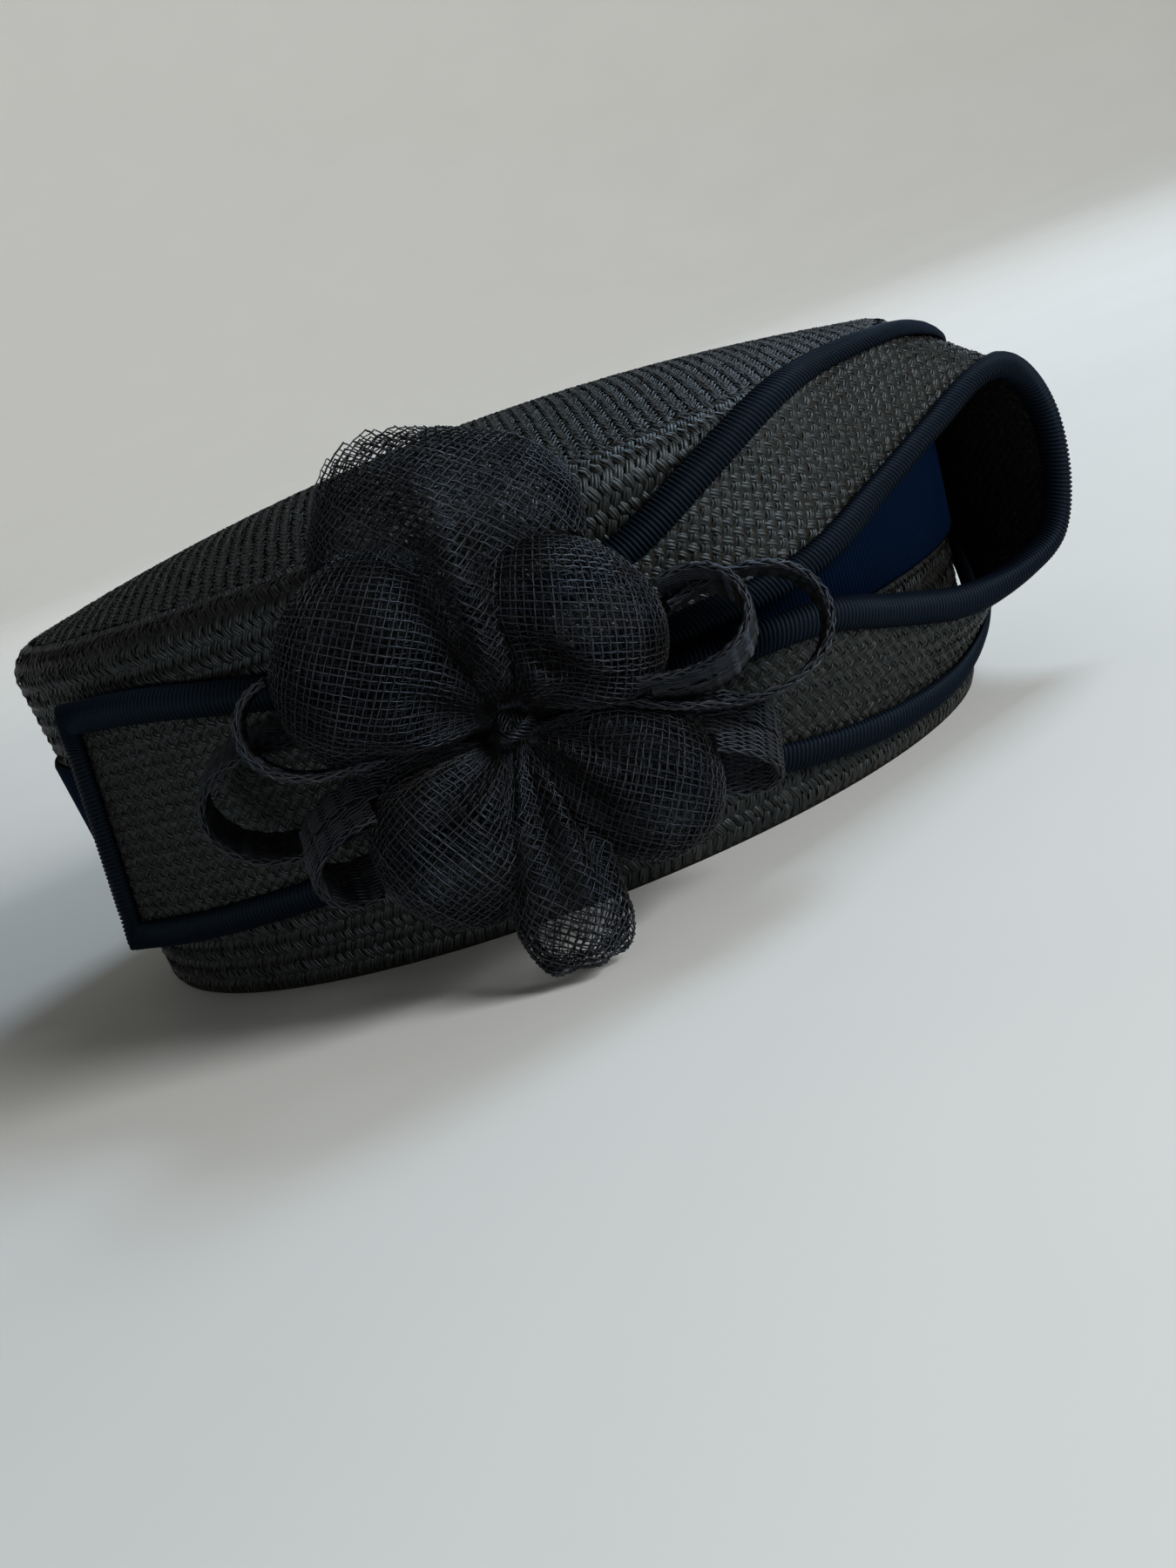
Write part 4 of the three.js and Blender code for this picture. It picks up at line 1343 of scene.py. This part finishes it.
def make_knot():
    """The small knot of twisted wraps."""
    rng = np.random.default_rng(bpy.context.scene.hat_gauze.seed + 2)
    turns = np.linspace(0, 2 * math.pi, WRAP_POINTS, endpoint=False)
    centre = np.array([FLOWER_X, FLOWER_FACE - KNOT_HIGH - GAP, FLOWER_Z])
    size = np.array([KNOT_R, KNOT_HIGH, KNOT_SQUASH * KNOT_R])
    lines = []
    for _ in range(KNOT_WRAPS):
        pole = unit(rng.normal(size=3) * np.array(WRAP_POLE))
        first = unit(np.cross(pole, rng.normal(size=3)))
        second = np.cross(pole, first)
        circle = np.cos(turns)[:, None] * first + np.sin(turns)[:, None] * second
        middle = rng.uniform(-WRAP_SHIFT, WRAP_SHIFT)
        shrink = rng.uniform(*WRAP_SHRINK)
        for start in np.linspace(0, 2 * math.pi, WRAP_STRANDS, endpoint=False):
            twist = start + WRAP_TWISTS * turns
            slide = (middle + WRAP_HALF * np.cos(twist))[:, None]
            out = unit(np.sqrt(1 - slide**2) * circle + slide * pole)
            deep = (shrink - WRAP_DEEP * (1 - np.sin(twist)))[:, None]
            lines.append({
                "points": centre + out * size * deep, "closed": True, "out": out,
                "over": np.sin(WRAP_CRIMPS * turns), "girth": rng.uniform(*WRAP_GIRTHS),
                "tint": rng.uniform(*WRAP_TINTS)})
    gauze_piece("gauze_knot", lines, KNOT_SIDES, "flower_knot")


def make_pad():
    """The pad under the flower."""
    radii, heights = np.array(PAD_PROFILE).T
    angle = np.linspace(0, 2 * math.pi, PAD_SIDES, endpoint=False)[:, None]
    x = FLOWER_X + PAD_R * radii * np.cos(angle)
    y = FLOWER_FACE + PAD_THICK * heights + 0 * angle
    z = FLOWER_Z + PAD_R * radii * np.sin(angle)
    rings = np.stack([x, y, z], -1)
    pad = add_object("gauze_pad", skin_mesh("gauze_pad", rings, True), wall_material())
    kept(pad, "gauze", "flower_base")


# Stage. The camera's angles are in radians, its distances in millimetres, and its shifts and focal length
# in pixels of a picture 1350 wide and 1800 high. The lights and the floor are in metres.

CAMERA_AIM_Z = 45.0
CAMERA_AZIMUTH = 0.012039
CAMERA_ELEVATION = 0.135969
CAMERA_ROLL = 0.366907
CAMERA_DISTANCE = 481.143
CAMERA_YAW_SHIFT = -91.82
CAMERA_PITCH_SHIFT = -178.88
FOCAL_PIXELS = 2400.0
SENSOR_WIDTH = 36.0
CLIP_START = 0.01

HAT_MIDDLE = (float(HAT_AXIS[0]), float(HAT_AXIS[1]), 0.05)
Lamp = namedtuple("Lamp", "name colour place aim size")
LAMPS = [
    Lamp("window", (0.98, 0.98, 0.98), (0.95, -0.7, 0.55), HAT_MIDDLE, (0.55, 0.6)),
    Lamp("sky", (0.7, 0.85, 1.0), (0.75, 0.75, 1.3), HAT_MIDDLE, (0.5, 0.5)),
    Lamp("fill", (1.0, 0.98, 0.95), (-0.4, -0.8, 0.05), HAT_MIDDLE, (0.7, 0.08)),
    Lamp("backdrop", (1.0, 0.985, 0.97), (0.0, 1.0, 1.7), (0.0, 3.0, 0.3), (2.4, 0.8)),
]
ROOM_COLOUR = (1.0, 0.975, 0.94, 1.0)

FLOOR_RINGS = (0.02, 0.5, 1.2)
FLOOR_FLAT = 2.0
FLOOR_SWEEP = 1.2
FLOOR_SIDES = 96


def camera_matrix():
    """The camera's place and axes: aimed at the crown, rolled, and then turned to frame the hat."""
    level = math.cos(CAMERA_ELEVATION)
    toward = Vector((
        math.sin(CAMERA_AZIMUTH) * level, -math.cos(CAMERA_AZIMUTH) * level, math.sin(CAMERA_ELEVATION)))
    right = Vector((0, 0, 1)).cross(toward).normalized()
    up = toward.cross(right)
    rolled_up = math.sin(CAMERA_ROLL) * right + math.cos(CAMERA_ROLL) * up
    rolled_right = math.cos(CAMERA_ROLL) * right - math.sin(CAMERA_ROLL) * up
    yaw = math.atan2(CAMERA_YAW_SHIFT, FOCAL_PIXELS)
    ahead = -toward * math.cos(yaw) - rolled_right * math.sin(yaw)
    across = rolled_right * math.cos(yaw) - toward * math.sin(yaw)
    pitch = math.atan2(CAMERA_PITCH_SHIFT, math.hypot(FOCAL_PIXELS, CAMERA_YAW_SHIFT))
    aim = ahead * math.cos(pitch) + rolled_up * math.sin(pitch)
    top = rolled_up * math.cos(pitch) - ahead * math.sin(pitch)
    place = Vector(placed(np.array(toward) * CAMERA_DISTANCE + np.array([0, 0, CAMERA_AIM_Z])))
    return Matrix.Translation(place) @ Matrix((across, top, -aim)).transposed().to_4x4()


def make_camera():
    """The camera."""
    camera = bpy.data.objects.new("camera", bpy.data.cameras.new("camera"))
    camera.data.lens = bpy.context.scene.hat_stage.lens
    camera.data.sensor_width = SENSOR_WIDTH
    camera.data.clip_start = CLIP_START
    camera.matrix_world = camera_matrix()
    bpy.context.scene.collection.objects.link(camera)
    bpy.context.scene.camera = camera


def make_lights():
    """Four soft rectangular lights and a dim room, shown with some more contrast."""
    scene = bpy.context.scene
    for lamp in LAMPS:
        light = bpy.data.lights.new(lamp.name, "AREA")
        light.energy = getattr(scene.hat_stage, lamp.name)
        light.color = lamp.colour
        light.shape = "RECTANGLE"
        light.size, light.size_y = lamp.size
        piece = bpy.data.objects.new(lamp.name, light)
        piece.location = lamp.place
        piece.rotation_euler = (Vector(lamp.aim) - Vector(lamp.place)).to_track_quat("-Z", "Y").to_euler()
        piece.visible_camera = False
        scene.collection.objects.link(piece)
    world = bpy.data.worlds.new("room")
    world.use_nodes = True
    background = world.node_tree.nodes["Background"]
    background.inputs["Color"].default_value = ROOM_COLOUR
    background.inputs["Strength"].default_value = scene.hat_stage.room
    scene.world = world
    scene.view_settings.view_transform = "Standard"
    scene.view_settings.look = "Medium High Contrast"


def make_floor():
    """A pale floor that sweeps up all round."""
    bend = np.radians(np.arange(0, 91, 10))
    radii = np.concatenate([FLOOR_RINGS, FLOOR_FLAT + FLOOR_SWEEP * np.sin(bend)])
    heights = np.concatenate([np.zeros(len(FLOOR_RINGS)), FLOOR_SWEEP - FLOOR_SWEEP * np.cos(bend)])
    angle = np.linspace(0, 2 * math.pi, FLOOR_SIDES, endpoint=False)[:, None]
    points = np.stack([radii * np.cos(angle), radii * np.sin(angle), heights + 0 * angle], -1)
    size = len(radii)
    faces = []
    for i in range(FLOOR_SIDES):
        ahead = (i + 1) % FLOOR_SIDES
        for j in range(size - 1):
            faces.append((i * size + j, i * size + j + 1, ahead * size + j + 1, ahead * size + j))
    faces.append([i * size for i in range(FLOOR_SIDES)])
    mesh = bpy.data.meshes.new("floor")
    mesh.from_pydata(points.reshape(-1, 3), [], faces)
    mesh.shade_smooth()
    add_object("floor", mesh, floor_material(bpy.context.scene.hat_stage.floor_colour))


# Operators


class HAT_OT_stage(bpy.types.Operator):
    """Set the camera, the lights and the floor"""

    bl_idname = "hat.stage"
    bl_label = "Stage"

    def execute(self, context):
        make_camera()
        make_lights()
        make_floor()
        return {"FINISHED"}


class HAT_OT_crown(bpy.types.Operator):
    """Weave the straw of the crown"""

    bl_idname = "hat.crown"
    bl_label = "Crown"

    def execute(self, context):
        make_crown()
        return {"FINISHED"}


class HAT_OT_band(bpy.types.Operator):
    """Lay the ribbon round the crown"""

    bl_idname = "hat.band"
    bl_label = "Crown ribbon"

    def execute(self, context):
        make_band()
        return {"FINISHED"}


class HAT_OT_bow_straw(bpy.types.Operator):
    """Weave the straw of the bow's tail and loop"""

    bl_idname = "hat.bow_straw"
    bl_label = "Bow straw"

    def execute(self, context):
        make_bow_straw()
        return {"FINISHED"}


class HAT_OT_bow_bindings(bpy.types.Operator):
    """Fold the ribbed bindings over the bow's edges"""

    bl_idname = "hat.bow_bindings"
    bl_label = "Bow bindings"

    def execute(self, context):
        make_bow_bindings()
        return {"FINISHED"}


class HAT_OT_petals(bpy.types.Operator):
    """Gather the gauze petals of the flower"""

    bl_idname = "hat.petals"
    bl_label = "Petals"

    def execute(self, context):
        make_petals()
        return {"FINISHED"}


class HAT_OT_ribbon_loops(bpy.types.Operator):
    """Bend the gauze ribbon loops of the flower"""

    bl_idname = "hat.ribbon_loops"
    bl_label = "Ribbon loops"

    def execute(self, context):
        make_ribbon_loops()
        return {"FINISHED"}


class HAT_OT_knot(bpy.types.Operator):
    """Wrap the flower's knot and lay its pad"""

    bl_idname = "hat.knot"
    bl_label = "Knot and pad"

    def execute(self, context):
        make_knot()
        make_pad()
        return {"FINISHED"}


OPERATORS = [
    HAT_OT_stage, HAT_OT_crown, HAT_OT_band, HAT_OT_bow_straw, HAT_OT_bow_bindings, HAT_OT_petals,
    HAT_OT_ribbon_loops, HAT_OT_knot]
SETTINGS = {
    "hat_straw": StrawSettings, "hat_ribbon": RibbonSettings, "hat_gauze": GauzeSettings,
    "hat_stage": StageSettings}


class VIEW3D_PT_hat(bpy.types.Panel):
    """The hat's pieces and settings"""

    bl_label = "Straw pillbox hat"
    bl_space_type = "VIEW_3D"
    bl_region_type = "UI"
    bl_category = "Hat"

    def draw(self, context):
        for operator in OPERATORS:
            self.layout.operator(operator.bl_idname)
        for key, kind in SETTINGS.items():
            box = self.layout.box()
            for name in kind.__annotations__:
                box.prop(getattr(context.scene, key), name)


CLASSES = (*SETTINGS.values(), *OPERATORS, VIEW3D_PT_hat)


def register():
    """Registers the settings, the operators and the panel."""
    for kind in CLASSES:
        bpy.utils.register_class(kind)
    for key, kind in SETTINGS.items():
        setattr(bpy.types.Scene, key, PointerProperty(type=kind))


def unregister():
    """Takes them out again."""
    for key in SETTINGS:
        delattr(bpy.types.Scene, key)
    for kind in reversed(CLASSES):
        bpy.utils.unregister_class(kind)


def main():
    """Dresses the whole hat."""
    register()
    bpy.ops.hat.stage()
    bpy.ops.hat.crown()
    bpy.ops.hat.band()
    bpy.ops.hat.bow_straw()
    bpy.ops.hat.bow_bindings()
    bpy.ops.hat.petals()
    bpy.ops.hat.ribbon_loops()
    bpy.ops.hat.knot()


if __name__ == "__main__":
    main()
